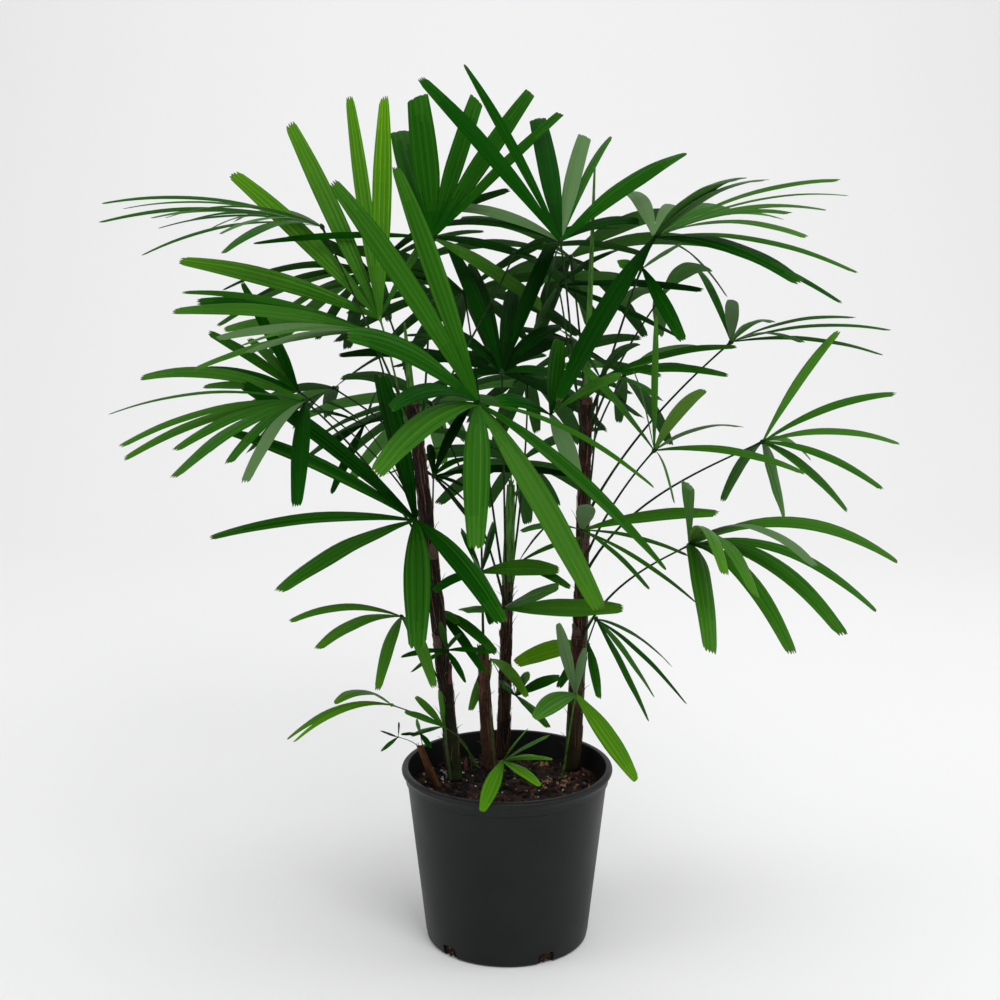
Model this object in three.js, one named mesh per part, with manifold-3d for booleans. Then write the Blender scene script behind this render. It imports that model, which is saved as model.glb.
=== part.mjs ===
// Lady palm in a nursery pot: a clump of four fibre-clothed canes that carry fan-shaped fronds on thin stalks.
// Millimetres, +Z up. The origin is the centre of the pot's flat underside.
import * as THREE from "three";
import { mergeVertices } from "three/addons/utils/BufferGeometryUtils.js";
import Module from "manifold-3d";

const wasm = await Module();
wasm.setup();

// ---- Driving dimensions -------------------------------------------------------------------------------

const GAP = 0.3; // left between two pieces that touch
const POT = {
  height: 241, footRadius: 108, neckRadius: 133, lipRadius: 140, lipHeight: 15, wall: 2.8, sides: 44,
  holes: 5, holeWidth: 16, holeHeight: 13, holeDepth: 12, firstHole: -62,
  notchWidth: 26, notchHeight: 1.6,
};
const SOIL_TOP = 212;
const CANE = { sides: 8, sheath: 66, flare: 0.12, step: 4 }; // one leaf sheath each 66 mm, wider at its top
const STALK = { sides: 3, steps: 5, footRadius: 2.7, hubRadius: 1.9 };
const HUB = { radius: 11, thickness: 8, sides: 6 };
const LEAF = { rootAt: 3, rootWidth: 3.4, neckAt: 0.13, neckWidth: 0.36, fullFrom: 0.4, tipFrom: 0.8 };
const BLADE = { minThickness: 2.4, slender: 90, long: 200 }; // long leaflets bend in one more place
const CLEAR = 1.5; // kept between one frond's leaflets and everything that isn't on that frond
const FULL_LEAF = 200; // stalk and hub have their full size on fronds with leaflets this long

// Canes and the young shoot: foot and head radius, and the line of the middle from the soil up.
const CANES = {
  cane_left: { radii: [10, 7.5], line: [[-70, 22], [-88, -4, 421], [-104, -12, 584], [-121, -20, 737]] },
  cane_right: { radii: [10.5, 7], line: [[89, 61], [96, 48, 387], [100, 44, 569], [102, 40, 726]] },
  cane_middle: { radii: [9, 6.5], line: [[-22, 57], [-29, 44, 306], [-32, 42, 392]] },
  cane_rear: { radii: [9, 6.5], line: [[-5, 104], [-2, 98, 344], [1, 94, 463]] },
  shoot: { radii: [5.5, 3.8], line: [[-93, -7], [-103, -36, 256], [-114, -44, 283]] },
};
// Leaves still rolled up, one on the head of a cane: foot and tip radius, and how far the tip stands off.
const SPEARS = {
  spear_left: { on: "cane_left", radii: [5, 1.6], tip: [-8, 4, 96] },
  spear_right: { on: "cane_right", radii: [4.6, 1.6], tip: [8, 4, 296] },
  spear_rear: { on: "cane_rear", radii: [6.5, 2.6], tip: [4, -2, 138] },
};

// Fronds, front ones first. A frond's stalk leaves a cane at a height, or the soil at a place [x, y], and ends
// in a hub. Its upper side faces a compass bearing (0 is +X, 90 is +Y), tipped so many degrees from straight
// up. Then come the leaflets' full length, width and arch, and whether they lean NEAR, AWAY or BOTH by turns.
// A leaflet is given as it shows from the standpoint, drawn on the upright plane through the hub: the clock
// angle of its tip (0 is +X, 90 is up) and its reach. What a short reach hides of the full length lies along
// the sight line.
const STANDPOINT = new THREE.Vector3(-9, -2400, 1154);
const NEAR = () => -1;
const AWAY = () => 1;
const BOTH = (i) => (i % 2 === 0 ? -1 : 1);
const FRONDS = [
  ["frond_01", "cane_middle", 366, [-35, -170, 758], [-90, 60], 275, 27, 0.08, NEAR,
    [[123, 310], [109, 295], [152, 175], [-145, 150], [-176, 105], [-91, 180], [-60, 295], [-42, 305],
      [-26, 235]]],
  ["frond_02", "cane_left", 470, [-115, -75, 593], [-110, 50], 255, 27, 0.06, NEAR,
    [[141, 275], [154, 260], [-175, 260], [-152, 200], [-90, 170], [103, 190], [-51, 175]]],
  ["frond_03", "cane_right", 650, [64, -60, 939], [-90, 62], 275, 26, 0.05, AWAY,
    [[131, 260], [119, 240], [101, 150], [77, 130], [64, 140], [35, 185], [14, 100], [173, 155],
      [164, 150], [-104, 100]]],
  ["frond_04", "cane_right", 390, [225, -110, 570], [-60, 40], 250, 27, 0.16, NEAR,
    [[94, 70], [-78, 145], [-47, 195], [-31, 230], [-20, 250], [-5, 260], [-10, 160], [-39, 110],
      [-41, 60]]],
  ["frond_05", "cane_right", 480, [314, -90, 696], [-80, 58], 195, 16, 0.08, AWAY,
    [[57, 165], [20, 175], [-1, 170], [-22, 165], [-39, 140], [-72, 100], [-122, 90], [-21, 65]]],
  ["frond_06", "cane_right", 500, [184, -50, 677], [-60, 45], 195, 17, 0.08, NEAR,
    [[90, 170], [51, 100], [15, 115], [-9, 195], [132, 165], [105, 105], [-69, 75]]],
  ["frond_07", "soil", [-14, 31], [-6, -64, 270], [-90, 35], 115, 18, 0.04, NEAR,
    [[-111, 75], [-35, 60], [2, 65], [30, 70], [54, 55], [9, 45]]],
  ["frond_08", "soil", [74, 35], [90, -22, 346], [-80, 62], 145, 20, 0.05, NEAR,
    [[-56, 145], [-149, 65], [104, 100], [80, 65]]],
  ["frond_09", "cane_right", 692, [182, -20, 940], [-60, 24], 260, 20, 0.08, BOTH,
    [[17, 240], [12, 245], [34, 130], [18, 105], [-10, 260], [8, 160], [0, 190], [-19, 250], [-17, 195],
      [-39, 120], [-120, 240], [123, 65], [27, 155], [9, 215]]],
  ["frond_10", "cane_left", 600, [-171, -30, 823], [-110, 36], 250, 21, 0.06, BOTH,
    [[174, 250], [168, 240], [-168, 230], [170, 220], [-174, 165], [179, 185]]],
  ["frond_11", "cane_left", 520, [-249, -80, 745], [-120, 36], 245, 23, 0.08, BOTH,
    [[-176, 245], [172, 205], [-166, 240], [-162, 240], [-150, 195], [-148, 205], [-127, 130], [-97, 70],
      [-96, 135]]],
  ["frond_12", "cane_left", 640, [-163, 30, 833], [-90, 70], 285, 19, 0.04, AWAY,
    [[164, 265], [135, 260], [114, 270], [97, 280], [88, 280], [57, 150]]],
  ["frond_13", "cane_left", 668, [-94, 42, 934], [-90, 70], 240, 28, 0.03, AWAY,
    [[96, 180], [106, 140], [72, 185], [56, 220], [44, 225], [-32, 165], [-178, 230], [-12, 135]]],
  ["frond_14", "cane_rear", 430, [-7, 0, 768], [-90, 55], 235, 19, 0.06, AWAY,
    [[112, 170], [106, 145], [82, 115], [69, 100], [64, 170], [38, 95], [23, 105], [174, 210],
      [-165, 115], [-29, 155]]],
  ["frond_15", "cane_left", 330, [-135, -52, 461], [-120, 45], 155, 14, 0.11, NEAR,
    [[-177, 145], [-158, 120], [-108, 105], [-67, 105]]],
  ["frond_16", "soil", [-40, 75], [-150, -40, 338], [-110, 50], 145, 13, 0.14, NEAR,
    [[-161, 145], [-158, 140], [179, 75]]],
  ["frond_17", "soil", [-48, 61], [-84, -22, 302], [-120, 50], 62, 10, 0.05, NEAR,
    [[131, 55], [158, 55], [95, 50], [-163, 45]]],
  ["frond_18", "cane_right", 440, [96, -4, 563], [-75, 38], 190, 18, 0.05, NEAR,
    [[7, 180], [-14, 145], [-33, 180], [73, 35], [-42, 120], [-178, 80]]],
  ["frond_19", "cane_right", 590, [54, -45, 722], [-90, 50], 150, 21, 0.06, NEAR,
    [[84, 95], [-68, 90], [166, 70], [29, 100]]],
  ["frond_20", "cane_left", 352, [-78, -52, 416], [-90, 25], 66, 9, 0.06, NEAR,
    [[-171, 60], [-147, 55], [-61, 50], [-4, 60], [101, 40], [51, 30]]],
  ["frond_21", "cane_rear", 392, [-5, 18, 452], [-90, 45], 170, 23, 0.02, NEAR,
    [[0, 160], [22, 80], [120, 80], [-176, 55]]],
  ["frond_22", "cane_rear", 352, [12, 58, 318], [-60, 55], 85, 16, 0.06, NEAR,
    [[56, 35], [-46, 65], [23, 65], [142, 25]]],
  ["frond_23", "cane_right", 560, [290, 60, 798], [-70, 22], 200, 14, 0.07, BOTH,
    [[11, 165], [4, 210], [-1, 95], [-5, 200], [25, 60], [116, 105], [89, 55]]],
  ["frond_24", "cane_left", 690, [-239, 85, 944], [-120, 18], 290, 14, 0.075, BOTH,
    [[174, 285], [175, 260], [-168, 240], [179, 290], [177, 205], [-178, 150], [-165, 135], [177, 115]]],
  ["frond_25", "cane_left", 560, [-272, 60, 733], [-90, 55], 155, 13, 0.04, AWAY,
    [[146, 140], [116, 160], [114, 100], [166, 125], [132, 95], [177, 125]]],
  ["frond_26", "cane_left", 540, [-188, 72, 687], [-100, 45], 110, 15, 0.06, NEAR,
    [[148, 60], [70, 45], [166, 75], [-116, 105], [15, 65]]],
  ["frond_27", "cane_right", 340, [121, 92, 415], [-30, 40], 170, 15, 0.1, AWAY,
    [[-63, 165], [-44, 175], [-54, 140], [-33, 125]]],
  ["frond_28", "cane_right", 300, [111, 84, 381], [-90, 50], 110, 14, 0.08, NEAR,
    [[-165, 105], [-79, 80], [-124, 75]]],
  ["frond_29", "cane_rear", 318, [-22, 98, 356], [-120, 50], 85, 14, 0.08, NEAR,
    [[-111, 80], [-103, 65], [-48, 75]]],
  ["frond_30", "cane_left", 372, [-92, 34, 445], [-80, 50], 115, 14, 0.08, NEAR,
    [[-71, 85], [-38, 100], [-55, 110], [-176, 40]]],
  ["frond_31", "cane_left", 520, [-97, 62, 620], [-90, 40], 190, 14, 0.06, AWAY,
    [[0, 190], [177, 60], [-53, 120], [-28, 85], [63, 105]]],
  ["frond_32", "cane_middle", 340, [-34, 62, 489], [-90, 45], 110, 14, 0.06, NEAR,
    [[76, 70], [-157, 70], [-80, 75], [115, 65], [1, 105]]],
  ["frond_33", "cane_rear", 415, [14, 60, 502], [-90, 40], 115, 15, 0.06, NEAR,
    [[-1, 85], [53, 65], [-26, 80]]],
  ["frond_34", "shoot", 272, [-141, -62, 302], [-120, 30], 30, 6, 0.04, NEAR,
    [[159, 25], [89, 20], [-139, 30]]],
  ["frond_35", "shoot", 266, [-113, -56, 305], [-90, 20], 30, 6, 0.04, NEAR,
    [[-176, 25], [99, 20], [21, 20], [-54, 25]]],
  ["frond_36", "cane_right", 700, [65, 62, 871], [-90, 34], 190, 13, 0.04, AWAY,
    [[-2, 190], [-23, 175], [31, 90], [-117, 65], [137, 65]]],
  ["frond_37", "cane_right", 560, [118, 4, 760], [-80, 36], 185, 15, 0.07, NEAR,
    [[13, 180], [1, 165], [43, 65], [-21, 85], [130, 80]]],
  ["frond_38", "cane_right", 680, [167, -32, 903], [-80, 52], 110, 18, 0.03, NEAR,
    [[-60, 105], [34, 55], [169, 40]]],
];
// Fronds at the back of the clump spread an even fan: hub, bearing they face, tip, leaflets, length, width.
const REAR_FRONDS = [
  ["frond_39", "cane_left", 700, [-186, 200, 874], 125, 38, 8, 240, 23],
  ["frond_40", "cane_rear", 440, [-59, 225, 842], 100, 36, 8, 250, 25],
  ["frond_41", "cane_right", 700, [87, 215, 892], 75, 38, 8, 245, 25],
  ["frond_42", "cane_right", 660, [210, 170, 847], 40, 34, 7, 225, 23],
  ["frond_43", "cane_left", 610, [-236, 175, 718], 150, 34, 7, 220, 22],
  ["frond_44", "cane_rear", 424, [-108, 265, 681], 115, 40, 8, 230, 24],
  ["frond_45", "cane_rear", 436, [29, 290, 718], 88, 40, 8, 235, 25],
  ["frond_46", "cane_right", 600, [165, 260, 721], 62, 38, 7, 220, 24],
  ["frond_47", "cane_rear", 400, [19, 235, 604], 88, 42, 7, 190, 22],
  ["frond_48", "cane_left", 680, [9, 130, 905], 90, 25, 7, 210, 22],
];
const REAR_FAN = 250; // degrees from the first leaflet of such a fan to the last
const REAR_ARCH = 0.1;

const COLOURS = {
  pot: [0x26282a, 0.55], soil: [0x2e2118, 0.95], cane: [0x33251b, 0.9], shoot: [0x6e3d24, 0.7],
  spear: [0x2f6b1c, 0.5], frond: [0x1f5a14, 0.45], young: [0x63a318, 0.45],
};
const YOUNG = new Set(["frond_07", "frond_08", "frond_12", "frond_16", "frond_17"]);

// How wide a leaflet still is at its end, as a share of its full width: most end blunt, some cut off or pointed.
const TIP_WIDTH = { blunt: 0.5, cut: 0.8, pointed: 0.3 };
const CUT = new Set(["frond_03", "frond_13"]);
const POINTED = new Set([
  "frond_07", "frond_08", "frond_16", "frond_20", "frond_24", "frond_27", "frond_34", "frond_35",
]);

// ---- Geometry helpers ---------------------------------------------------------------------------------

const UP = new THREE.Vector3(0, 0, 1);
const radians = THREE.MathUtils.degToRad;

// A repeatable value from -1 to 1 for two whole numbers.
function scatter(first, second) {
  const wave = Math.sin(first * 12.9898 + second * 78.233) * 43758.5453;
  return 2 * (wave - Math.floor(wave)) - 1;
}

function solidOf(geometry) {
  const bare = geometry.clone();
  bare.deleteAttribute("normal");
  bare.deleteAttribute("uv");
  const merged = mergeVertices(bare, 1e-4);
  return new wasm.Manifold(new wasm.Mesh({
    numProp: 3,
    vertProperties: Float32Array.from(merged.attributes.position.array),
    triVerts: Uint32Array.from(merged.index.array),
  }));
}

function geometryOf(solid) {
  const mesh = solid.getMesh();
  const geometry = new THREE.BufferGeometry();
  geometry.setAttribute("position", new THREE.BufferAttribute(mesh.vertProperties, 3));
  geometry.setIndex(new THREE.BufferAttribute(mesh.triVerts, 1));
  geometry.computeVertexNormals();
  return geometry;
}

// A closed skin over rings of equally many points, each ring turning right-handed about the way it travels.
function loft(rings) {
  const sides = rings[0].length;
  const index = [];
  for (let r = 0; r + 1 < rings.length; r += 1) {
    for (let i = 0; i < sides; i += 1) {
      const a = r * sides + i;
      const b = r * sides + ((i + 1) % sides);
      index.push(a, b, b + sides, a, b + sides, a + sides);
    }
  }
  const last = (rings.length - 1) * sides;
  for (let i = 1; i + 1 < sides; i += 1) {
    index.push(0, i + 1, i);
    index.push(last, last + i, last + i + 1);
  }
  const geometry = new THREE.BufferGeometry().setFromPoints(rings.flat());
  geometry.setIndex(index);
  return geometry;
}

// A round ring of points about a centre, in the plane of two unit vectors.
function ring(centre, radius, sides, across, over) {
  return Array.from({ length: sides }, (_, i) => {
    const turn = (2 * Math.PI * i) / sides;
    return centre.clone()
      .addScaledVector(across, radius * Math.cos(turn))
      .addScaledVector(over, radius * Math.sin(turn));
  });
}

function levelRing(centre, radius, sides) {
  return ring(centre, radius, sides, new THREE.Vector3(1, 0, 0), new THREE.Vector3(0, 1, 0));
}

// ---- Pot and soil -------------------------------------------------------------------------------------

function lathe(profile) {
  const turned = new THREE.LatheGeometry(profile.map(([r, z]) => new THREE.Vector2(r, z)), POT.sides);
  return solidOf(turned.rotateX(Math.PI / 2));
}

const neckHeight = POT.height - POT.lipHeight;
const wallSlope = (POT.neckRadius - POT.footRadius) / neckHeight;
const insideRadius = (z) => POT.footRadius - POT.wall + wallSlope * z;

// A block that cuts the foot of the pot at a bearing.
function footCutter(bearing, width, height, depth) {
  const block = new THREE.BoxGeometry(2 * depth, width, 2 * height);
  block.translate(POT.footRadius, 0, 0).rotateZ(radians(bearing));
  return solidOf(block);
}

function makePot() {
  const { height, footRadius, neckRadius, lipRadius, wall, holes } = POT;
  let pot = lathe([
    [0, 0], [footRadius - 1.5, 0], [footRadius, 1.5], [neckRadius, neckHeight], [lipRadius - 3, neckHeight],
    [lipRadius, neckHeight + 3], [lipRadius, height - 4], [lipRadius - 2.5, height], [lipRadius - 6, height],
    [lipRadius - 8, height - 3], [insideRadius(neckHeight - 2), neckHeight - 2], [insideRadius(wall), wall],
    [0, wall],
  ]);
  for (let i = 0; i < holes; i += 1) {
    const bearing = POT.firstHole + (360 / holes) * i;
    pot = pot.subtract(footCutter(bearing, POT.holeWidth, POT.holeHeight, POT.holeDepth));
    pot = pot.subtract(footCutter(bearing + 180 / holes, POT.notchWidth, POT.notchHeight, 3 * POT.notchHeight));
  }
  return pot;
}

// The potting mix fills the pot to a level top, a gap clear of the wall; lifted, it trims stalks to that gap.
function makeSoil(lift) {
  const low = POT.wall + GAP;
  const high = SOIL_TOP + lift;
  return lathe([
    [0, low], [insideRadius(low) - 1.4 * GAP, low], [insideRadius(high) - 1.4 * GAP, high], [0, high],
  ]);
}

// ---- Canes, shoot and spears --------------------------------------------------------------------------

function caneCurve(line) {
  return new THREE.CatmullRomCurve3(line.map(([x, y, z = SOIL_TOP + GAP]) => new THREE.Vector3(x, y, z)));
}

// The middle of a cane at a height.
function caneAt(curve, height) {
  const low = curve.points[0].z;
  const high = curve.points.at(-1).z;
  let share = (height - low) / (high - low);
  for (let i = 0; i < 6; i += 1) {
    share += (height - curve.getPoint(THREE.MathUtils.clamp(share, 0, 1)).z) / (high - low);
  }
  return curve.getPoint(THREE.MathUtils.clamp(share, 0, 1));
}

// A cane tapers from foot to head in sheaths, each a little wider at its top than the next one's foot.
function makeCane({ radii, line }, swell) {
  const curve = caneCurve(line);
  const low = curve.points[0].z;
  const high = curve.points.at(-1).z;
  const sheaths = Math.max(1, Math.round((high - low) / CANE.sheath));
  const rings = [];
  for (let i = 0; i < sheaths; i += 1) {
    const bottom = low + ((high - low) * i) / sheaths;
    const top = low + ((high - low) * (i + 1)) / sheaths - (i + 1 < sheaths ? CANE.step : 0);
    for (const [z, grow] of [[bottom, 1], [top, 1 + CANE.flare]]) {
      const radius = THREE.MathUtils.mapLinear(z, low, high, ...radii) * grow;
      rings.push(levelRing(caneAt(curve, z), radius + swell, CANE.sides));
    }
  }
  return solidOf(loft(rings));
}

function makeSpear({ on, radii, tip }) {
  const foot = CANES[on].line.at(-1);
  const start = new THREE.Vector3(foot[0], foot[1], foot[2] + GAP);
  const rings = [0, 0.35, 0.7, 1].map((share) => {
    const centre = start.clone().addScaledVector(new THREE.Vector3(...tip), share);
    return levelRing(centre, THREE.MathUtils.lerp(...radii, share ** 1.5), 5);
  });
  return solidOf(loft(rings));
}

// ---- Fronds -------------------------------------------------------------------------------------------

// The direction that a blade's upper side faces.
function facing(bearing, tip) {
  const flat = Math.sin(radians(tip));
  return new THREE.Vector3(
    Math.cos(radians(bearing)) * flat, Math.sin(radians(bearing)) * flat, Math.cos(radians(tip)));
}

// Leaflets as vectors from hub to tip. Each tip lies on its sight line, a full length away from the hub.
function seenLeaflets(hub, full, lean, rays, seed) {
  return rays.map(([clock, reach], i) => {
    const turn = radians(clock);
    const mark = hub.clone().add(new THREE.Vector3(reach * Math.cos(turn), 0, reach * Math.sin(turn)));
    const sight = mark.sub(STANDPOINT).normalize();
    const toHub = hub.clone().sub(STANDPOINT);
    const nearest = toHub.dot(sight);
    const aside = Math.sqrt(toHub.lengthSq() - nearest * nearest);
    const length = Math.max(aside, full * (0.97 + 0.03 * scatter(seed, i)));
    const distance = nearest + lean(i) * Math.sqrt(length * length - aside * aside);
    return sight.multiplyScalar(distance).sub(toHub);
  });
}

// Leaflets as vectors from hub to tip, in an even fan that spreads in the blade's own plane.
function fannedLeaflets(bearing, tip, count, length, seed) {
  const down = facing(bearing, tip + 90);
  const sideways = new THREE.Vector3(-Math.sin(radians(bearing)), Math.cos(radians(bearing)), 0);
  return Array.from({ length: count }, (_, i) => {
    const turn = REAR_FAN * (i / (count - 1) - 0.5) + 6 * scatter(seed, i);
    const reach = length * (1 - 0.25 * Math.abs(turn) / REAR_FAN) * (0.95 + 0.05 * scatter(seed, i + 40));
    return down.clone().multiplyScalar(reach * Math.cos(radians(turn)))
      .addScaledVector(sideways, reach * Math.sin(radians(turn)));
  });
}

// The width of a leaflet at its stations: a narrow root and neck, full from the middle on, and its tip.
function stationsOf(length, { width, scale, tipWidth }) {
  const root = [(LEAF.rootAt * scale) / length, LEAF.rootWidth * scale];
  const neck = [LEAF.neckAt, Math.max(LEAF.neckWidth * width, LEAF.rootWidth * scale)];
  const blade = length > BLADE.long ? [[LEAF.fullFrom, 0.94 * width]] : [];
  const full = length > BLADE.long ? [LEAF.tipFrom, width] : [0.6, width];
  return [root, neck, ...blade, full, [1, tipWidth * width]];
}

// One leaflet: a thin three-sided blade with its ridge on top, arched between hub and tip. Margin fattens it.
function leafletSolid(frond, reach, roll, margin) {
  const length = reach.length();
  const rise = 4 * frond.arch * Math.hypot(reach.x, reach.y);
  const half = Math.max(BLADE.minThickness * frond.scale, length / BLADE.slender) / 2 + margin;
  const across = frond.face.clone().cross(reach);
  const rings = stationsOf(length, frond).map(([share, width]) => {
    const centre = frond.hub.clone().addScaledVector(reach, share);
    centre.z += rise * share * (1 - share);
    const along = reach.clone().addScaledVector(UP, rise * (1 - 2 * share)).normalize();
    const side = along.clone().cross(across).cross(along).normalize().applyAxisAngle(along, roll);
    const top = along.clone().cross(side);
    const reachOut = width / 2 + 2 * margin;
    return [[reachOut, -half], [0, half], [-reachOut, -half]].map(([sideways, upwards]) =>
      centre.clone().addScaledVector(side, sideways).addScaledVector(top, upwards));
  });
  return solidOf(loft(rings));
}

// A frond's stalk: it leaves its cane slanting up, then arches over to the hub.
function stalkSolid(frond, sway, lift, margin) {
  const { hub } = frond;
  const foot = frond.foot.clone().addScaledVector(UP, lift);
  const span = hub.clone().sub(foot);
  const out = new THREE.Vector3(span.x, span.y, 0);
  if (out.length() < 1) out.copy(frond.face).setZ(0);
  out.normalize();
  const aside = UP.clone().cross(out).multiplyScalar(sway);
  const length = span.length();
  const low = foot.clone().addScaledVector(UP, 0.34 * length).addScaledVector(out, 0.16 * length).add(aside);
  const high = foot.clone().addScaledVector(span, 0.66).addScaledVector(UP, 0.08 * length).add(aside);
  const curve = new THREE.CubicBezierCurve3(foot, low, high, hub);
  const rings = [];
  for (let i = 0; i <= STALK.steps; i += 1) {
    const share = i / STALK.steps;
    const along = curve.getTangent(share);
    const across = UP.clone().cross(out);
    const over = along.clone().cross(across).normalize();
    across.copy(over).cross(along).normalize();
    const radius = THREE.MathUtils.lerp(STALK.footRadius, STALK.hubRadius, share) * frond.scale;
    rings.push(ring(curve.getPoint(share), radius + margin, STALK.sides, across, over));
  }
  return solidOf(loft(rings));
}

function hubSolid(frond) {
  const disc = new THREE.CylinderGeometry(HUB.radius, HUB.radius, HUB.thickness, HUB.sides);
  const turn = new THREE.Quaternion().setFromUnitVectors(new THREE.Vector3(0, 1, 0), frond.face);
  disc.scale(frond.scale, frond.scale, frond.scale).applyQuaternion(turn);
  return solidOf(disc.translate(...frond.hub));
}

// ---- Clearance ----------------------------------------------------------------------------------------

const placed = []; // every solid that is set so far, with its owner's name and box

function place(owner, solid) {
  placed.push({ owner, solid, box: solid.boundingBox() });
}

function boxesMeet(one, other) {
  return [0, 1, 2].every((axis) => one.min[axis] <= other.max[axis] && other.min[axis] <= one.max[axis]);
}

// Whether a fattened solid keeps clear of everything that its owner and host don't own.
function isClear(solid, owner, host) {
  const box = solid.boundingBox();
  return placed.every((item) => item.owner === owner || item.owner === host
    || !boxesMeet(box, item.box) || solid.intersect(item.solid).isEmpty());
}

// Shifts of a leaflet's tip that are tried in turn, along the sight line and upwards, in growing steps.
const SHIFTS = [[0, 0]];
for (let step = 12; step <= 60; step += 12) {
  SHIFTS.push([step, 0], [-step, 0]);
}
for (let step = 12; step <= 60; step += 12) {
  SHIFTS.push([0, step], [0, -step], [step, step], [-step, step]);
}

function setLeaflet(frond, reach, roll) {
  const sight = frond.hub.clone().add(reach).sub(STANDPOINT).normalize();
  for (const shorten of [1, 0.8]) {
    for (const [deeper, higher] of SHIFTS) {
      const tried = reach.clone().multiplyScalar(shorten)
        .addScaledVector(sight, deeper)
        .addScaledVector(UP, higher);
      if (isClear(leafletSolid(frond, tried, roll, CLEAR), frond.name, frond.name)) {
        const leaflet = leafletSolid(frond, tried, roll, 0);
        place(frond.name, leaflet);
        frond.parts.push(leaflet);
        return;
      }
    }
  }
}

function setStalk(frond) {
  const lifts = frond.host === "soil" ? [0] : [0, -12, 12, -24, 24, -36, 36];
  for (const lift of lifts) {
    for (const sway of [0, 12, -12, 24, -24, 36, -36, 48, -48]) {
      const fat = stalkSolid(frond, sway, lift, CLEAR).subtract(frond.trimmer);
      if (isClear(fat, frond.name, frond.host)) {
        const stalk = stalkSolid(frond, sway, lift, 0).subtract(frond.trimmer);
        place(frond.name, stalk);
        frond.parts.push(stalk);
        return;
      }
    }
  }
  throw new Error(`${frond.name}: its stalk finds no clear way`);
}

// ---- The plant ----------------------------------------------------------------------------------------

const plant = new THREE.Group();
plant.name = "lady_palm";

function addPiece(name, solid, [colour, roughness]) {
  const material = new THREE.MeshStandardMaterial({ color: colour, roughness, metalness: 0 });
  const piece = new THREE.Mesh(geometryOf(solid), material);
  piece.name = name;
  plant.add(piece);
}

function addLimb(name, solid, look) {
  place(name, solid);
  addPiece(name, solid, look);
}

addLimb("pot", makePot(), COLOURS.pot);
addLimb("soil", makeSoil(0), COLOURS.soil);
for (const [name, cane] of Object.entries(CANES)) {
  addLimb(name, makeCane(cane, 0), name === "shoot" ? COLOURS.shoot : COLOURS.cane);
}
for (const [name, spear] of Object.entries(SPEARS)) {
  addLimb(name, makeSpear(spear), COLOURS.spear);
}

const trimmers = { soil: makeSoil(GAP) };
for (const [name, cane] of Object.entries(CANES)) {
  trimmers[name] = makeCane(cane, 1.2 * GAP);
}

function startFrond(name, on, footAt, hub, face, width, arch, length, leaflets) {
  const foot = on === "soil"
    ? new THREE.Vector3(...footAt, SOIL_TOP - 6)
    : caneAt(caneCurve(CANES[on].line), footAt);
  const scale = THREE.MathUtils.clamp(length / FULL_LEAF, 0.35, 1);
  const tip = CUT.has(name) ? "cut" : POINTED.has(name) ? "pointed" : "blunt";
  return {
    name, host: on, foot, hub: new THREE.Vector3(...hub), face, width, arch, scale, leaflets,
    tipWidth: TIP_WIDTH[tip],
    trimmer: trimmers[on], parts: [],
  };
}

const fronds = [
  ...FRONDS.map(([name, on, footAt, hub, faces, full, width, arch, lean, rays], seed) =>
    startFrond(name, on, footAt, hub, facing(...faces), width, arch, full,
      seenLeaflets(new THREE.Vector3(...hub), full, lean, rays, seed))),
  ...REAR_FRONDS.map(([name, on, footAt, hub, bearing, tip, count, length, width], row) =>
    startFrond(name, on, footAt, hub, facing(bearing, tip), width, REAR_ARCH, length,
      fannedLeaflets(bearing, tip, count, length, FRONDS.length + row))),
];

for (const frond of fronds) {
  const hub = hubSolid(frond);
  place(frond.name, hub);
  frond.parts.push(hub);
}
fronds.forEach(setStalk);
fronds.forEach((frond, seed) => {
  frond.leaflets.forEach((reach, i) => setLeaflet(frond, reach, radians(14) * scatter(seed, i + 80)));
  const whole = frond.parts.reduce((sum, part) => sum.add(part));
  addPiece(frond.name, whole, YOUNG.has(frond.name) ? COLOURS.young : COLOURS.frond);
});

export default plant;
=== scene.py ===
# %% [markdown]
# # A lady palm in a nursery pot
#
# The real plant is a clump of thin canes in a coat of brown fibres. Each cane holds fan-shaped fronds out on
# wiry stalks, and each frond is cut into blunt, pleated leaflets. The imported model gives every limb, stalk
# and leaflet its place and size. What follows dresses each of them: a turned pot, loose potting mix, canes
# with their fibres, and leaflets with pleats and toothed tips. The imported model is loaded first.

import math

import bpy
import numpy as np
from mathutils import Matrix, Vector
from mathutils.bvhtree import BVHTree
from mathutils.kdtree import KDTree


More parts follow.
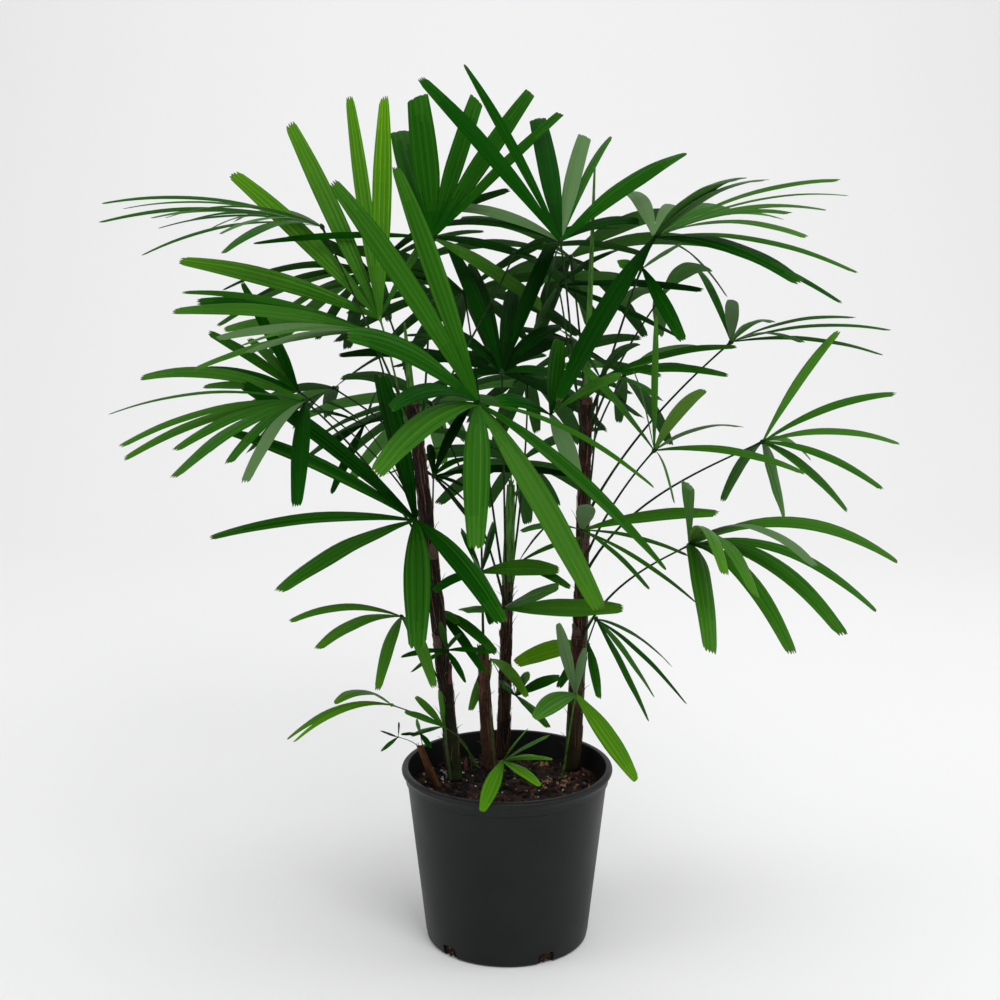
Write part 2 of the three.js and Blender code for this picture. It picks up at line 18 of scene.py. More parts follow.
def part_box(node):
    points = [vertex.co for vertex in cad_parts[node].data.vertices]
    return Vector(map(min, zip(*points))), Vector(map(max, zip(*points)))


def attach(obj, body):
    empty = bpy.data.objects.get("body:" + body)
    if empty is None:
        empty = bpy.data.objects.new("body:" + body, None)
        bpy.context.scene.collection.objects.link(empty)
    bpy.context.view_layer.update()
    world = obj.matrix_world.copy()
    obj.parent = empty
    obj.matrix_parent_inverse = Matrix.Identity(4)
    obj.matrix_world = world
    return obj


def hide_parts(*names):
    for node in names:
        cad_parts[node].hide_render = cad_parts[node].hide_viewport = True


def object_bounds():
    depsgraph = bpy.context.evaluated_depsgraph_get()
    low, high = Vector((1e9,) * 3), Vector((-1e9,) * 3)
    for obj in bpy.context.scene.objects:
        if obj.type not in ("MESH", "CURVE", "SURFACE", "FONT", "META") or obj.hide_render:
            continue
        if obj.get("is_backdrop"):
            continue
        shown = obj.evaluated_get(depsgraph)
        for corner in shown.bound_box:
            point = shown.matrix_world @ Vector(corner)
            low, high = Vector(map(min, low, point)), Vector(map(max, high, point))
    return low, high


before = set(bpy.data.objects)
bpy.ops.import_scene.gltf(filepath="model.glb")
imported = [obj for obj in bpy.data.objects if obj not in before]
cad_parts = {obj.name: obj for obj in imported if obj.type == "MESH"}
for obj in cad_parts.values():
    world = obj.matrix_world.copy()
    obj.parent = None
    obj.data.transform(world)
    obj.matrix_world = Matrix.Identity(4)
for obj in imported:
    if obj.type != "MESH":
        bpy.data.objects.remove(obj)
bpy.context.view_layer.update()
MM = 0.001

# %% [markdown]
# ## The studio
#
# A plant is judged by its outline, so it stands on a pale sweep: a floor that curves up into a back wall,
# with no horizon line. A plane whose far edge is extruded up gives both, and a wide bevel makes the curve.
# The light is one large soft box high in front, a weaker one from each side, one behind the plant that washes
# the wall, and an even pale sky that fills the shade. An operator acts on all that is selected, so three
# helpers first say what that is.

# %% Camera
CAMERA_AT = (-0.0094, -2.4, 1.1536)
CAMERA_DOWN = math.radians(12.95)
CAMERA_LENS = 68.86
SENSOR_WIDTH = 36
bpy.ops.object.camera_add(location=CAMERA_AT, rotation=(math.pi / 2 - CAMERA_DOWN, 0, 0))
camera = bpy.context.object
camera.data.sensor_width = SENSOR_WIDTH
camera.data.lens = CAMERA_LENS
bpy.context.scene.camera = camera
bpy.context.scene.view_settings.view_transform = "Standard"
print("camera:", -CAMERA_AT[1], "m in front,", CAMERA_AT[2], "m up")


# %% Selecting
def deselect_all():
    bpy.ops.object.select_all(action="DESELECT")


def select_only(piece):
    """Makes one piece the only selected one, and the active one."""
    deselect_all()
    piece.select_set(True)
    bpy.context.view_layer.objects.active = piece


def edit_edges(piece, wanted):
    """Opens a piece in edit mode with those edges selected whose two ends are wanted."""
    select_only(piece)
    bpy.ops.object.mode_set(mode="EDIT")
    bpy.ops.mesh.select_mode(type="EDGE")
    bpy.ops.mesh.select_all(action="DESELECT")
    bpy.ops.object.mode_set(mode="OBJECT")
    for edge in piece.data.edges:
        edge.select = all(wanted(piece.data.vertices[v].co) for v in edge.vertices)
    bpy.ops.object.mode_set(mode="EDIT")


# %% Sweep, in metres
SWEEP_SIZE = 9
BACK_HEIGHT = 5
CURVE = 2.4  # how far the curve reaches along the floor and up the wall
CURVE_STEPS = 24


def make_sweep():
    deselect_all()
    bpy.ops.mesh.primitive_plane_add(size=SWEEP_SIZE, location=(0, 0, 0))
    made = bpy.context.object
    made.name = "studio_sweep"
    edit_edges(made, lambda end: end.y > 1)
    bpy.ops.mesh.extrude_region_move(TRANSFORM_OT_translate={"value": (0, 0, BACK_HEIGHT)})
    bpy.ops.object.mode_set(mode="OBJECT")
    edit_edges(made, lambda end: end.y > 1 and end.z < 1)
    bpy.ops.mesh.bevel(offset=CURVE, segments=CURVE_STEPS, affect="EDGES")
    bpy.ops.object.mode_set(mode="OBJECT")
    bpy.ops.object.shade_smooth()
    made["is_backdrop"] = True
    return made


sweep = make_sweep()
print("sweep:", len(sweep.data.polygons), "faces")


# %% Soft boxes and sky
def add_soft_box(name, place, size, watts, aim=(0, 0, 0.6)):
    """A square lamp that looks at the middle of the plant, or at another point."""
    deselect_all()
    bpy.ops.object.light_add(type="AREA", location=place)
    lamp = bpy.context.object
    lamp.name = name
    lamp.data.size = size
    lamp.data.energy = watts
    lamp.rotation_euler = (Vector(aim) - lamp.location).to_track_quat("-Z", "Y").to_euler()


add_soft_box("key_box", (0.9, -2.2, 3.0), 1.5, 48)
add_soft_box("left_box", (-2.6, -0.8, 1.5), 1.8, 18)
add_soft_box("right_box", (2.6, -0.2, 1.7), 1.8, 17)
add_soft_box("wall_box", (0, 1.2, 3.2), 2.4, 34, aim=(0, 4.4, 0.9))
SKY = 0.68
world = bpy.data.worlds.new("pale_sky")
bpy.context.scene.world = world
world.use_nodes = True
world.node_tree.nodes["Background"].inputs["Color"].default_value = (1, 1, 1, 1)
world.node_tree.nodes["Background"].inputs["Strength"].default_value = SKY
print("studio: one sweep, four soft boxes, sky", SKY)

# %% [markdown]
# ## A short way to write materials
#
# A material is a graph of nodes, and most of its nodes do arithmetic on one number. Written out, each of them
# takes four lines. A small class that wraps a socket and knows how to add and multiply lets the arithmetic be
# written as such, and one method makes every other kind of node.


# %% Node arithmetic
class Wire:
    """A value that runs through a material's nodes. Sums and products of wires add Math nodes."""

    def __init__(self, tree, socket=None):
        self.tree = tree
        self.socket = socket

    def node(self, kind, settings=None, sockets=None, output=0):
        """Adds a node: its settings are set first, then its sockets get values or wires."""
        made = self.tree.nodes.new("ShaderNode" + kind)
        for name, value in (settings or {}).items():
            setattr(made, name, value)
        for name, value in (sockets or {}).items():
            if isinstance(value, Wire):
                self.tree.links.new(value.socket, made.inputs[name])
            else:
                made.inputs[name].default_value = value
        return Wire(self.tree, made.outputs[output])

    def maths(self, operation, first, second):
        return self.node("Math", {"operation": operation}, {0: first, 1: second})

    def __add__(self, other):
        return self.maths("ADD", self, other)

    def __sub__(self, other):
        return self.maths("SUBTRACT", self, other)

    def __rsub__(self, other):
        return self.maths("SUBTRACT", other, self)

    def __mul__(self, other):
        return self.maths("MULTIPLY", self, other)

    __radd__ = __add__
    __rmul__ = __mul__

    def step(self, low, high):
        """0 below low, 1 above high, smooth between."""
        return self.node("MapRange", {"interpolation_type": "SMOOTHSTEP"},
                         {"Value": self, "From Min": low, "From Max": high})

    def tint(self, first, second):
        """A colour from first, where this value is 0, to second, where it is 1."""
        return self.node("Mix", {"data_type": "RGBA"}, {0: self, 6: first, 7: second}, output=2)


# %% Materials and patterns
def new_material(name, roughness, **plain):
    """A material with one Principled shader. Plain values go straight on its sockets."""
    material = bpy.data.materials.new(name)
    material.use_nodes = True
    shader = material.node_tree.nodes["Principled BSDF"]
    shader.inputs["Roughness"].default_value = roughness
    for socket, value in plain.items():
        shader.inputs[socket.replace("_", " ")].default_value = value
    return material, shader, Wire(material.node_tree)


def drive(shader, **wires):
    """Links wires to the shader's sockets by name."""
    for socket, wire in wires.items():
        wire.tree.links.new(wire.socket, shader.inputs[socket.replace("_", " ")])


def stretched(wire, vector, scale):
    return wire.node("Mapping", None, {"Vector": vector, "Scale": scale})


def place_wire(wire, scale=(1, 1, 1)):
    """Where a point of the piece lies, in metres, stretched by a scale for each axis."""
    return stretched(wire, wire.node("TexCoord", output="Object"), scale)


def noise(wire, vector, scale, detail=3.0, roughness=0.55):
    """Cloudy values between 0 and 1, most of them near the middle."""
    sockets = {"Vector": vector, "Scale": scale, "Detail": detail, "Roughness": roughness}
    return wire.node("TexNoise", None, sockets, output="Fac")


def bump(wire, height, distance, strength=1.0):
    sockets = {"Height": height, "Distance": distance, "Strength": strength}
    return wire.node("Bump", None, sockets, output="Normal")


def rgba(red, green, blue):
    return (red, green, blue, 1.0)


paper, _, _ = new_material("pale_paper", 0.9, Base_Color=rgba(0.81, 0.81, 0.815))
sweep.data.materials.append(paper)
print("material:", paper.name)

# %% [markdown]
# ## The pot
#
# A nursery pot is blown or pressed from thin black plastic: a wall that widens upwards, a rolled lip to lift
# it by, a rounded foot, and drain holes where the wall meets the floor. It is turned here: one ring of points
# is extruded from step to step along the profile, which keeps every ring even, and the holes are cut
# afterwards with rounded blocks. The plastic is dull and dark, but it catches light along its sides, so most
# of its look is in its roughness. Fine scuffs and broad, faint clouds of a lighter charcoal keep it from being
# one flat black.

# %% Pot sizes and profile, in millimetres
POT_HEIGHT = 1000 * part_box("pot")[1].z
LIP_RADIUS = 1000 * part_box("pot")[1].x
NECK_RADIUS = LIP_RADIUS - 7
FOOT_RADIUS = LIP_RADIUS - 32
NECK_DROP = 15  # from the top of the pot down to its neck
SHOULDER_DROP = 21.5  # down to where the wall turns out under the lip
SHOULDER = [(1.5, 19.8), (2.4, 12.5), (3.2, 11)]  # how far outside the neck, and how far under the top
BEAD = 4.2  # radius of the rolled edge
RIM_ROUND = 1.4
FOOT_ROUND = 6
WALL = 2.8
FLOOR_HOLE = 40
wall_slope = (NECK_RADIUS - FOOT_RADIUS) / (POT_HEIGHT - NECK_DROP)


def arc(centre, radius, start, end, steps):
    """Points [radius, height] on an arc from one clock angle to another, in degrees."""
    turns = np.radians(np.linspace(start, end, steps + 1))
    return [(centre[0] + radius * math.cos(t), centre[1] + radius * math.sin(t)) for t in turns]


def wall_radius(height, inset=0.0):
    return FOOT_RADIUS + wall_slope * height - inset


def pot_profile():
    """Steps [radius, height] from the foot up the outside, over the lip and down the inside."""
    top = POT_HEIGHT
    outside = arc((FOOT_RADIUS - FOOT_ROUND, FOOT_ROUND), FOOT_ROUND, -90, 0, 6)
    wall = [(wall_radius(z), z) for z in np.linspace(12, top - 28, 8)]
    shoulder = [(wall_radius(top - SHOULDER_DROP), top - SHOULDER_DROP)]
    shoulder += [(NECK_RADIUS + out, top - drop) for out, drop in SHOULDER]
    bead = arc((LIP_RADIUS - BEAD, top - BEAD), BEAD, -62, 90, 10)
    rim = arc((LIP_RADIUS - BEAD - 3.2, top - RIM_ROUND), RIM_ROUND, 90, 180, 4)
    inside = [(wall_radius(top - 12, WALL), top - 12)]
    inside += [(wall_radius(z, WALL), z) for z in np.linspace(top - 30, WALL + 4, 6)]
    floor = [(wall_radius(WALL, WALL) - 3, WALL), (FLOOR_HOLE, WALL)]
    return outside + wall + shoulder + bead + rim + inside + floor


print("pot:", round(2 * LIP_RADIUS), "mm across and", round(POT_HEIGHT), "mm tall")


# %% Extrude from ring to ring
def extrude_rings(name, rings, sides):
    """A closed body from rings, each a middle and a radius: a round face is extruded from one to the next."""
    deselect_all()
    middle, radius = rings[0]
    bpy.ops.mesh.primitive_circle_add(vertices=sides, radius=radius * MM, location=middle * MM)
    body = bpy.context.object
    body.name = name
    bpy.ops.object.transform_apply(location=True, rotation=False, scale=False)
    bpy.ops.object.mode_set(mode="EDIT")
    bpy.ops.mesh.edge_face_add()
    for (middle, radius), (next_middle, next_radius) in zip(rings, rings[1:]):
        step = (next_middle - middle) * MM
        bpy.ops.mesh.extrude_region_move(TRANSFORM_OT_translate={"value": tuple(step)})
        grow = next_radius / radius
        bpy.ops.transform.resize(value=(grow, grow, 1), center_override=tuple(next_middle * MM))
    bpy.ops.mesh.select_all(action="SELECT")
    bpy.ops.mesh.normals_make_consistent(inside=False)
    bpy.ops.object.mode_set(mode="OBJECT")
    return body


def turn_profile(name, profile, sides):
    """A body turned about the upright axis from [radius, height] steps."""
    return extrude_rings(name, [(np.array([0, 0, height]), radius) for radius, height in profile], sides)


# %% Cut the drain holes
def foot_block(bearing, width, height, depth, corner):
    """A rounded block that stands in the foot of the pot at a bearing."""
    deselect_all()
    bpy.ops.mesh.primitive_cube_add(size=1, location=(FOOT_RADIUS * MM, 0, 0),
                                    scale=(2 * depth * MM, width * MM, 2 * height * MM))
    block = bpy.context.object
    bpy.ops.object.transform_apply(location=True, rotation=True, scale=True)
    bpy.ops.object.mode_set(mode="EDIT")
    bpy.ops.mesh.bevel(offset=corner * MM, segments=3, affect="EDGES")
    bpy.ops.object.mode_set(mode="OBJECT")
    block.rotation_euler.z = math.radians(bearing)
    bpy.ops.object.transform_apply(location=True, rotation=True, scale=True)
    return block


def apply_modifiers(piece):
    select_only(piece)
    for modifier in list(piece.modifiers):
        bpy.ops.object.modifier_apply(modifier=modifier.name)


def cut_away(piece, blocks):
    """Cuts the blocks out of the piece and removes them."""
    for block in blocks:
        cut = piece.modifiers.new("cut", "BOOLEAN")
        cut.operation = "DIFFERENCE"
        cut.solver = "EXACT"
        cut.object = block
        apply_modifiers(piece)
        bpy.data.objects.remove(block)


POT_SIDES = 160
HOLES = 5
FIRST_HOLE = -62  # degrees, where 0 is +X and -90 faces the front
DRAIN_HOLE = (23, 17, 12, 4.5)  # width, height, depth and corner
FOOT_NOTCH = (26, 1.6, 5, 0.7)  # the same of the shallow notches under the foot, between the holes
hole_bearings = [FIRST_HOLE + 360 / HOLES * hole for hole in range(HOLES)]
pot = turn_profile("turned_pot", pot_profile(), POT_SIDES)
foot_blocks = []
for bearing in hole_bearings:
    foot_blocks.append(foot_block(bearing, *DRAIN_HOLE))
    foot_blocks.append(foot_block(bearing + 180 / HOLES, *FOOT_NOTCH))
cut_away(pot, foot_blocks)
select_only(pot)
bpy.ops.object.shade_smooth_by_angle(angle=math.radians(40))
print("pot:", len(pot.data.polygons), "faces")


# %% Pot plastic
def pot_plastic():
    material, shader, wire = new_material("charcoal_plastic", 0.5, Specular_IOR_Level=0.35, IOR=1.36)
    place = place_wire(wire)
    broad = noise(wire, place, 9, 4).step(0.35, 0.7)
    scuff = noise(wire, place_wire(wire, (1, 1, 14)), 60, 5, 0.7).step(0.62, 0.78)
    grain = noise(wire, place, 900, 2)
    black, charcoal = rgba(0.004, 0.0052, 0.005), rgba(0.0095, 0.0112, 0.0105)
    drive(shader, Base_Color=(broad * 0.6 + scuff * 0.4).tint(black, charcoal),
          Roughness=0.42 + broad * 0.1 + scuff * 0.12,
          Normal=bump(wire, grain * 0.5 + broad * 2, 0.00015, 0.5))
    return material


def place_piece(piece, slot, *nodes):
    """A finished piece rides on the plant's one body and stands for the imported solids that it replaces."""
    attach(piece, "root")
    if nodes:
        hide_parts(*nodes)


pot.data.materials.append(pot_plastic())
place_piece(pot, "pot", "pot")
print("finished:", pot.name)

# %% [markdown]
# ## The potting mix
#
# Potting mix is shredded bark and peat: dark and lumpy, with crumbs of every size. A Displace modifier can
# make a surface lumpy where it has points to move, so the mix is a turned disc with many rings on its top.
# Only the top is moved, because the side has to keep clear of the pot's wall.

# %% Lumpy top
SOIL_LOW = 1000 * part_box("soil")[0].z
SOIL_HIGH = 1000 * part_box("soil")[1].z
SOIL_RADIUS = 1000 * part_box("soil")[1].x
SOIL_LEVEL = SOIL_HIGH - 2  # before it is made lumpy
SOIL_RINGS = 26
SOIL_SIDES = 128
LUMPS = [(26, 9), (6, 4)]  # width and depth of broad lumps, then of small ones


def soil_profile():
    top = [(SOIL_RADIUS * (1 - k / SOIL_RINGS), SOIL_LEVEL) for k in range(SOIL_RINGS)]
    return [(wall_radius(SOIL_LOW, WALL + 1.2), SOIL_LOW), *top, (1.5, SOIL_LEVEL)]


def add_relief(piece, size, depth, detail=3, middle=0.5):
    """Adds a Displace modifier that moves the surface in and out by clouds, in millimetres."""
    clouds = bpy.data.textures.new("clouds", "CLOUDS")
    clouds.noise_scale = size * MM
    clouds.noise_depth = detail
    relief = piece.modifiers.new("relief", "DISPLACE")
    relief.texture = clouds
    relief.strength = depth * MM
    relief.mid_level = middle
    return relief


soil = turn_profile("potting_mix", soil_profile(), SOIL_SIDES)
top_points = soil.vertex_groups.new(name="top")
for vertex in soil.data.vertices:
    inside = math.hypot(vertex.co.x, vertex.co.y) < 0.985 * SOIL_RADIUS * MM
    if inside and vertex.co.z > (SOIL_HIGH - 5) * MM:
        top_points.add([vertex.index], 1.0, "REPLACE")
for size, depth in LUMPS:
    add_relief(soil, size, depth).vertex_group = "top"
    apply_modifiers(soil)
soil.vertex_groups.clear()
bpy.ops.object.shade_smooth()
print("potting mix:", len(soil.data.polygons), "faces")


# %% Mix finish
def mix_material():
    material, shader, wire = new_material("potting_mix", 0.95, Specular_IOR_Level=0.2)
    place = place_wire(wire)
    clods = noise(wire, place, 75, 5, 0.7).step(0.4, 0.68)
    crumbs = noise(wire, place, 420, 3, 0.6)
    wet, dry = rgba(0.002, 0.0015, 0.0012), rgba(0.07, 0.038, 0.026)
    drive(shader, Base_Color=(clods * 0.7 + crumbs * 0.3).tint(wet, dry),
          Normal=bump(wire, clods + crumbs * 0.5, 0.002, 0.9))
    return material


soil.data.materials.append(mix_material())
place_piece(soil, "soil", "soil")
print("finished:", soil.name)

# %% [markdown]
# ## Chips and perlite
#
# On the mix lie red-brown bark chips, black clods and white grains of perlite, and some fill the drain holes.
# They are small and many, so their meshes come from arrays: one rough lump, scaled, turned and set on the
# surface again and again, all in one mesh. A collector gathers such small things, here and for the leaves.
# The colours of the chips are plain, one material for each kind.


# %% A collector for small things
class Sheaf:
    """Gathers the points, faces, face materials and surface places of many small things for one mesh."""

    def __init__(self):
        self.points = []
        self.faces = []
        self.kinds = []
        self.places = []
        self.count = 0

    def add_faces(self, faces, kind=0):
        """Faces among the points that the next call of add brings; kind is one number or one for each."""
        self.faces += (np.asarray(faces, int) + self.count).tolist()
        self.kinds.append(np.broadcast_to(kind, len(faces)))

    def add(self, points, faces, kind=0, places=None):
        """Points in millimetres with their faces; places are [u, v] for each point."""
        self.add_faces(faces, kind)
        self.points.append(np.asarray(points, float))
        self.places.append(np.zeros((len(points), 2)) if places is None else places)
        self.count += len(points)

    def make(self, name, materials, smooth_angle):
        """One mesh of all that was gathered."""
        mesh = bpy.data.meshes.new(name)
        mesh.from_pydata((np.concatenate(self.points) * MM).tolist(), [], self.faces)
        mesh.polygons.foreach_set("material_index", np.concatenate(self.kinds).astype(np.int32))
        corner_points = np.empty(len(mesh.loops), np.int32)
        mesh.loops.foreach_get("vertex_index", corner_points)
        surface = mesh.uv_layers.new(name="surface")
        corner_places = np.concatenate(self.places)[corner_points]
        surface.data.foreach_set("uv", corner_places.astype(np.float32).ravel())
        for material in materials:
            mesh.materials.append(material)
        piece = bpy.data.objects.new(name, mesh)
        bpy.context.scene.collection.objects.link(piece)
        select_only(piece)
        bpy.ops.object.shade_smooth_by_angle(angle=math.radians(smooth_angle))
        triangles = sum(len(face) - 2 for face in self.faces)
        print(f"{name}: {triangles} triangles")
        return piece


# %% One rough lump
def turned(rng):
    """A random turn in space, as three unit vectors."""
    axes, _ = np.linalg.qr(rng.normal(size=(3, 3)))
    return axes * np.sign(np.linalg.det(axes))


def rough_lump(rng, size, sides=6):
    """A closed chip: a lens of two rings with a point at each end, scaled to a size for each axis."""
    turn = np.linspace(0, 2 * np.pi, sides, endpoint=False)
    points = [[0, 0, -1]]
    for height, radius in ((-0.45, 0.85), (0.45, 0.9)):
        spread = radius * rng.uniform(0.7, 1.1, sides)
        points += [[r * math.cos(t), r * math.sin(t), height] for r, t in zip(spread, turn)]
    points.append([0, 0, 1])
    faces = []
    for i in range(sides):
        j = (i + 1) % sides
        faces += [[0, 1 + j, 1 + i], [1 + i, 1 + j, 1 + sides + j], [1 + i, 1 + sides + j, 1 + sides + i],
                  [2 * sides + 1, 1 + sides + i, 1 + sides + j]]
    return np.array(points) * size / 2, np.array(faces)


# %% Kinds of chips
def flat_material(name, colour, roughness):
    """A plain colour with a little mottling, for things too small to show more."""
    material, shader, wire = new_material(name, roughness, Specular_IOR_Level=0.25)
    mottle = noise(wire, place_wire(wire), 260, 3).step(0.3, 0.7)
    dark = rgba(*[0.6 * channel for channel in colour])
    drive(shader, Base_Color=mottle.tint(dark, rgba(*colour)), Normal=bump(wire, mottle, 0.0004, 0.6))
    return material


chip_materials = [
    flat_material("dark_bark", (0.035, 0.019, 0.013), 0.9),
    flat_material("red_bark", (0.13, 0.045, 0.024), 0.85),
    flat_material("tan_bark", (0.28, 0.15, 0.08), 0.85),
    flat_material("perlite", (0.55, 0.54, 0.5), 0.8),
    flat_material("black_clod", (0.004, 0.0032, 0.0028), 0.95),
]
DARK, RED, TAN, PERLITE, CLOD = range(5)  # the kinds, in the order of their materials
SPREAD = None  # over the whole top
CHIPS = [  # kind, count, size, then the middle and width of a heap, or SPREAD
    (DARK, 420, (9, 4.5, 2.2), SPREAD),
    (RED, 80, (10, 4, 2), SPREAD),
    (TAN, 70, (6, 2.6, 1.6), SPREAD),
    (CLOD, 190, (11, 8, 6), SPREAD),
    (CLOD, 60, (14, 10, 8), (-40, 40, 40)),
    (TAN, 26, (7, 3, 2), (82, 20, 24)),
    (PERLITE, 60, (2.6, 2.3, 2), SPREAD),
    (PERLITE, 50, (3.4, 3.2, 2.8), (-84, 48, 15)),
    (PERLITE, 14, (3.2, 3, 2.4), (-112, 84, 7)),
    (RED, 16, (15, 6, 3), (103, 53, 9)),
    (TAN, 20, (9, 5, 2.4), (66, 12, 11)),
    (TAN, 8, (10, 6, 3), (47, 80, 5)),
    (RED, 26, (8, 3.4, 2), (30, -24, 34)),
]
IN_EACH_HOLE = (CLOD, DARK, CLOD, RED, CLOD, TAN, CLOD, DARK, CLOD, CLOD, RED, CLOD)
print("kinds of chips:", len(chip_materials))

# %% Lay the chips
rng = np.random.default_rng(5)
ground = BVHTree.FromObject(soil, bpy.context.evaluated_depsgraph_get())
chips = Sheaf()


def heap_spot(heap):
    """A random place on the top of the mix, in a heap or anywhere."""
    if heap is not SPREAD:
        return rng.normal(heap[:2], heap[2])
    radius = (SOIL_RADIUS - 7) * math.sqrt(rng.random())
    bearing = 2 * math.pi * rng.random()
    return radius * math.cos(bearing), radius * math.sin(bearing)


def lay_chip(kind, size, heap):
    """Lays one chip on the mix, unless its place is past the edge."""
    x, y = heap_spot(heap)
    if math.hypot(x, y) > SOIL_RADIUS - 6:
        return
    height = ground.ray_cast(Vector((x * MM, y * MM, 0.3)), Vector((0, 0, -1)))[0].z / MM
    points, faces = rough_lump(rng, np.array(size) * rng.uniform(0.55, 1.4))
    axes = turned(rng)
    axes[2] *= 0.5  # chips lie flatter than they would at random
    points = points @ np.linalg.qr(axes)[0].T
    chips.add(points + [x, y, height + 0.1 * size[1]], faces, kind)


def fill_hole(kind, bearing):
    """Wedges one crumb into a drain hole."""
    turn = math.radians(bearing) + rng.normal(0, 0.055)
    height = rng.uniform(3, 15)
    reach = wall_radius(height) - rng.uniform(1.5, 5)
    points, faces = rough_lump(rng, np.array([5, 3.5, 3]) * rng.uniform(0.7, 1.3))
    place = [reach * math.cos(turn), reach * math.sin(turn), height]
    chips.add(points @ turned(rng).T + place, faces, kind)


for kind, count, size, heap in CHIPS:
    for _ in range(count):
        lay_chip(kind, size, heap)
OLD_STUB = np.array([6, 5, 24])  # size of what is left of an old cane
points, faces = rough_lump(rng, OLD_STUB)
chips.add(points + [-56, 60, SOIL_HIGH + 5], faces, RED)
for bearing in hole_bearings:
    for kind in IN_EACH_HOLE:
        fill_hole(kind, bearing)
chip_piece = chips.make("bark_chips", chip_materials, 20)
place_piece(chip_piece, "soil")

# %% [markdown]
# ## The source's rule, written again
#
# Each frond is given by where its stalk leaves its cane, its hub, the way its blade faces, and how each
# leaflet shows from a standpoint in front: a clock angle and a reach, drawn on the upright plane through the
# hub. Whatever a short reach hides of the leaflet's length lies along the line of sight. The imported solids
# are only triangles, in which one leaflet can't be told from the next, so the rule that made them is written
# here again. Lengths are in millimetres, as in the source.

# %% The frond table
STANDPOINT = np.array([-9.0, -2400.0, 1154.0])
NEAR, AWAY, BOTH = -1, 1, 0  # to which side of the plane through its hub a fan's leaflets lean
